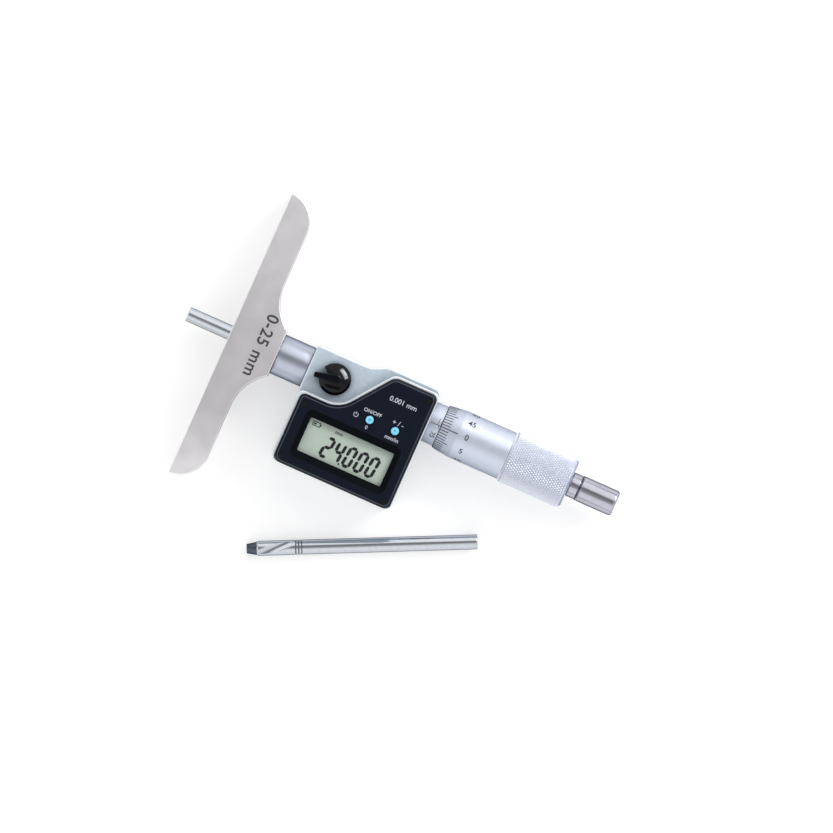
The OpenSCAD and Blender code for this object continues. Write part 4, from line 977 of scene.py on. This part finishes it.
def make_buttons():
    r, edge, flange_z = 1.35, 0.4, 10.75
    dimple_r, dimple_depth, steps = 0.55, 0.16, 6
    for node, body in (("on_off_button", "on_off_key"), ("unit_button", "unit_key")):
        x, y = place_of(node)
        z0, z1 = extent(node, Z)
        flange_r = high(node, X) - x
        flange = [(z0, 0, 0), (z0, flange_r, 0.1), (flange_z, flange_r, 0.1), (flange_z, r, 0)]
        dimple = [(z1 - dimple_depth + dimple_depth * (i / steps) ** 2, dimple_r * i / steps)
                  for i in range(steps + 1)]
        section = rounded(flange, 3, closed=False)
        section += [(z1 - edge + edge * math.sin(a), r - edge + edge * math.cos(a)) for a in quarter(steps)]
        section += reversed(dimple)
        button = lathe(node + "_cap", section, None, button_plastic, 64, 40)
        upright(button, 40)
        button.data.transform(moved(x, y, 0))
        # The dimple in each button's top takes the darker blue: painted shade.
        mark_faces(button, button_dimple_shade, lambda c, n: c.z > z1 - 0.2 and math.dist(c.xy, (x, y)) < 0.5)
        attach(button, body)
        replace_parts(button, node)


KNOB_R = 5.35
LEVER_ANGLE = 189.7


def make_lever():
    """A domed knob with a fin, a scoop beside it and a notch. It is made about the origin, then turned."""
    z0, top = extent("lock_lever", Z)
    edge, side_h, steps = 0.3, 1.3, 14
    dome_z = top - 0.65
    rise = dome_z - (z0 + side_h)
    sphere_r = (KNOB_R**2 + rise**2) / (2 * rise)
    sweep = math.asin(KNOB_R / sphere_r)
    turns = [sweep * (1 - i / steps) for i in range(steps + 1)]
    section = [(z0, 0), (z0, KNOB_R - edge), (z0 + edge, KNOB_R)]
    section += [(dome_z - sphere_r + sphere_r * math.cos(a), sphere_r * math.sin(a)) for a in turns]
    knob = lathe("lever_knob", section, None, lever_plastic, 96, 25)
    upright(knob, 25)
    fin = rounded([(-1.9, -1.75, 1.2), (6.2, -0.95, 0.2), (7.2, -0.9, 0.5), (7.2, 0.9, 0.5), (6.2, 0.95, 0.2),
                   (-1.9, 1.75, 1.2)], 5)
    blade = layered("blade", fin, edge_layers(z0 + 0.7, top, 0.25, 0.35), None, lever_plastic)
    scoop = rounded([(-3.9, 2.0, 0.4), (3.6, 2.05, 0.4), (2.4, 3.3, 1.5), (-1.8, 3.5, 1.5)], 5)
    notch = rounded([(2.6, -1.25, 0.3), (8, -1.0, 0.2), (8, -4.2, 0.2), (4.0, -3.0, 0.8)], 5)
    carve(knob, [prism(scoop, z0 + 1.2, top + PAST, 0.3), prism(notch, z0 - PAST, top + PAST)])
    carve(knob, [blade], "UNION")
    knob.data.transform(moved(LOCK_X, 0, 0, LEVER_ANGLE))
    screw_z, screw_r = high("lock_screw", Z), 1.93
    stud_h, stud_r = 0.95, 1.33
    carve(knob, [disc(LOCK_X, 0, screw_r, z0 - PAST, screw_z - stud_h),
                 disc(LOCK_X, 0, stud_r, z0, screw_z + SEAT)], smooth=25)
    bevel(knob, 0.12)
    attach(knob, "lock")
    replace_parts(knob, "lock_lever")


SEGMENTS = {"0": "abcdef", "2": "abged", "4": "fgbc"}


def digit(character, x, y, w, h, t, slant):
    """A seven-segment figure with its lower left corner at x, y. w, h and t are width, height and stroke."""
    gap = 0.04
    m, e = h / 2, t / 2

    def post(u, v0, v1):
        return [(u, v0 + gap), (u + e, v0 + e + gap), (u + e, v1 - e - gap),
                (u, v1 - gap), (u - e, v1 - e - gap), (u - e, v0 + e + gap)]

    def level(v):
        return [(b, a) for a, b in reversed(post(v, e, w - e))]

    shapes = {
        "a": level(h - e), "g": level(m), "d": level(e), "f": post(e, m, h - e), "b": post(w - e, m, h - e),
        "e": post(e, e, m), "c": post(w - e, e, m),
    }
    return [[(x + u + v * math.tan(slant), y + v) for u, v in shapes[s]] for s in SEGMENTS[character]]


def make_display():
    z = high("lcd_panel", Z) + 0.005
    x0, y0, pitch = 42.95, -25.6, 4.08
    w, h, stroke, slant = 3.35, 7.6, 1.08, math.radians(7)
    figures = []
    for i, character in enumerate("24000"):
        figures += digit(character, x0 + pitch * i, y0, w, h, stroke, slant)
    point_x, point_w = x0 + pitch * 2 - 0.72, 0.62
    figures.append(block(point_x, y0, point_x + point_w, y0 + point_w))
    left, right, bottom, top = 37.3, 40.1, -16.9, -15.3
    line, inner = 0.25, 0.5
    battery_sign = [
        block(left, bottom, right, bottom + line), block(left, top - line, right, top),
        block(left, bottom + line, left + line, top - line),
        block(right - line, bottom + line, right, top - line),
        block(right, bottom + inner, right + 0.3, top - inner),
        block(left + inner, bottom + inner, left + 1.3, top - inner),
    ]
    for name, polygons in (("display_figures", figures), ("display_battery_sign", battery_sign)):
        relief(name, drawing(polygons), "frame", print_dark, "black_oxide_steel", flat_place(0, 0, z), 0.02)
    lettering("display_unit", "mm", "frame", print_dark, "black_oxide_steel", 1.3,
              flat_place(46.8, -16.1, z), 0.02, 0.03)


def make_cover_print():
    z = COVER_Z - 0.005
    left, right, upper, lower = 54.2, 63.4, -4.95, -10.35
    labels = (("label_on_off", "ON/OFF", left, upper, 1.25), ("label_zero", "0", left, lower, 1.25),
              ("label_plus_minus", "+ / -", right, upper, 1.7), ("label_units", "mm/in", right, lower, 1.4),
              ("label_resolution", "0.001 mm", 62.3, 1.9, 1.75))
    for name, words, x, y, height in labels:
        lettering(name, words, "frame", print_pale, "button_plastic", height, flat_place(x, y, z), 0.02, 0.02)
    steps = 28
    outer, inner = (arc((0, 0), r, 125, 415, steps) for r in (0.85, 0.65))
    ring = [[inner[i], outer[i], outer[i + 1], inner[i + 1]] for i in range(steps)]
    sign = drawing(ring + [block(-0.1, 0.1, 0.1, 1.0)])
    relief("label_power_sign", sign, "frame", print_pale, "button_plastic", flat_place(49.3, -7.8, z), 0.02)


make_buttons()
make_lever()
make_display()
make_cover_print()

# Finishes of the pieces that come from the CAD as they are

FINISHES = (
    (hard_steel, ("guide_bush", "inner_sleeve", "adjusting_nut", "spindle", "rod_grip_ring", "rotor_key",
                  "rotor_spring_washer", "lock_screw", "board_screws", "battery", "ratchet_wheel",
                  "ratchet_clutch", "ratchet_spring")),
    (black_oxide, ("base_set_screws", "ratchet_ring", "ratchet_screw")),
    (bronze, ("front_bearing_bush", "clamp_ring", "frame_bearing_bush", "rotor_hub")),
    (rubber, ("wiper_seal", "lcd_contact_strips", "cover_gasket", "button_membrane", "battery_cap_seal")),
    (board_green, ("encoder_stator", "main_board", "encoder_rotor")),
    (gold_contact, ("battery_contact", "battery_spring_contact")),
    (amber_film, ("stator_ribbon",)),
    (lcd_glass, ("lcd_panel",)),
    (white_plastic, ("lcd_holder",)),
    (clear_window, ("display_window",)),
    (screw_black, ("cover_screws",)),
    (cap_plastic, ("battery_cap",)),
)


def finish_cad_nodes():
    for mat, names in FINISHES:
        for name in names:
            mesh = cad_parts[name].data
            mesh.materials.clear()
            mesh.materials.append(mat)


finish_cad_nodes()

# Floor, lamps and world

FLOOR_GLOW = 0.44
FLOOR_HALF = 1500


def ramp(nodes, stops):
    """A grey ramp from (position, level) pairs."""
    node = nodes.new("ShaderNodeValToRGB")
    elements = node.color_ramp.elements
    while len(elements) < len(stops):
        elements.new(0.5)
    for element, (position, level) in zip(elements, stops):
        element.position = position
        element.color = (level, level, level, 1)
    return node


def make_floor():
    """A white floor. It glows a little for the camera, metal and glass, so that it is seen as white."""
    mat = surface("floor_white", (0.64, 0.64, 0.64), 0.9, 0.0, 0.01, 40.0, grain_depth=0.0)
    nodes, links = mat.node_tree.nodes, mat.node_tree.links
    path = nodes.new("ShaderNodeLightPath")
    seen = path.outputs["Is Camera Ray"]
    for kind in ("Is Glossy Ray", "Is Transmission Ray"):
        add = nodes.new("ShaderNodeMath")
        add.operation = "MAXIMUM"
        links.new(seen, add.inputs[0])
        links.new(path.outputs[kind], add.inputs[1])
        seen = add.outputs["Value"]
    glow = nodes.new("ShaderNodeEmission")
    strength = nodes.new("ShaderNodeMath")
    strength.operation = "MULTIPLY"
    strength.inputs[1].default_value = FLOOR_GLOW
    links.new(seen, strength.inputs[0])
    links.new(strength.outputs["Value"], glow.inputs["Strength"])
    both = nodes.new("ShaderNodeAddShader")
    links.new(nodes["Principled BSDF"].outputs["BSDF"], both.inputs[0])
    links.new(glow.outputs["Emission"], both.inputs[1])
    links.new(both.outputs["Shader"], nodes["Material Output"].inputs["Surface"])
    z = cad_box[0].z / MM - SEAT
    corners = [(x, y, z) for x, y in block(-FLOOR_HALF, -FLOOR_HALF, FLOOR_HALF, FLOOR_HALF)]
    make("floor", corners, [(0, 1, 2, 3)], None, mat)


def lamp(name, place, aim, size, energy, colour=(1, 1, 1)):
    data = bpy.data.lights.new(name, "AREA")
    data.shape = "RECTANGLE"
    data.size, data.size_y = (s * MM for s in size)
    data.energy = energy
    data.color = colour
    obj = bpy.data.objects.new(name, data)
    obj.location = Vector(place) * MM
    obj.rotation_mode = "QUATERNION"
    obj.rotation_quaternion = (Vector(place) - Vector(aim)).to_track_quat("Z", "Y")
    bpy.context.scene.collection.objects.link(obj)
    return obj


def direction(azimuth, from_zenith):
    """A unit vector. azimuth runs from +X towards +Y, in degrees."""
    a, tilt = math.radians(azimuth), math.radians(from_zenith)
    return Vector((math.sin(tilt) * math.cos(a), math.sin(tilt) * math.sin(a), math.cos(tilt)))


# The tent's light as shares, which are multiplied: an axis, then (angle above the plane square to it, share)
TENT = (
    ((0, 0, 1), [(0, 0.7), (10, 0.95), (30, 1.0), (64, 1.0), (71, 0.6), (77, 0.45), (90, 0.45)]),
    (direction(82, 90), [(-90, 0.50), (-75, 0.70), (-60, 0.79), (-45, 0.77), (-22, 0.67), (-6, 0.62),
                         (4, 0.43), (18, 0.41), (27, 0.78), (60, 0.90), (75, 0.80), (90, 0.42)]),
    ((1, 0, 0), [(-90, 0.8), (-70, 1.15), (-45, 1.1), (-25, 0.95), (-6, 1.0), (90, 1.0)]),
)
TENT_STRENGTH = 1.62


def make_world():
    """A light tent. It is dim straight above, where the camera looks in. On the +Y side it has a dark band
    and then its brightest part."""
    world = bpy.data.worlds.new("studio")
    bpy.context.scene.world = world
    world.use_nodes = True
    nodes, links = world.node_tree.nodes, world.node_tree.links
    place = nodes.new("ShaderNodeTexCoord")
    shares = []
    for axis, stops in TENT:
        part = nodes.new("ShaderNodeVectorMath")
        part.operation = "DOT_PRODUCT"
        part.inputs[1].default_value = axis
        links.new(place.outputs["Generated"], part.inputs[0])
        span = nodes.new("ShaderNodeMapRange")
        span.inputs["From Min"].default_value = -1.0
        links.new(part.outputs["Value"], span.inputs["Value"])
        share = ramp(nodes, [((1 + math.sin(math.radians(angle))) / 2, level) for angle, level in stops])
        links.new(span.outputs["Result"], share.inputs["Fac"])
        shares.append(share.outputs["Color"])
    light = shares[0]
    for share in shares[1:]:
        both = nodes.new("ShaderNodeVectorMath")
        both.operation = "MULTIPLY"
        links.new(light, both.inputs[0])
        links.new(share, both.inputs[1])
        light = both.outputs["Vector"]
    links.new(light, nodes["Background"].inputs["Color"])
    nodes["Background"].inputs["Strength"].default_value = TENT_STRENGTH


def make_lamps():
    """A key light, and a window that shows in the polished lever alone."""
    centre = Vector((60, 0, 0))
    lamp("key_softbox", centre + direction(58, 60) * 1600, centre, (680, 290), 11.0)
    glint = lamp("window_glint", centre + direction(55, 56) * 1500, centre, (1350, 560), 60.0,
                 (0.9, 0.93, 1.0))
    glint.visible_diffuse = False
    lit = bpy.data.collections.new("polished_plastic")
    lit.objects.link(bpy.data.objects["lever_knob"])
    glint.light_linking.receiver_collection = lit


make_floor()
make_world()
make_lamps()
bpy.context.scene.view_settings.view_transform = "Standard"
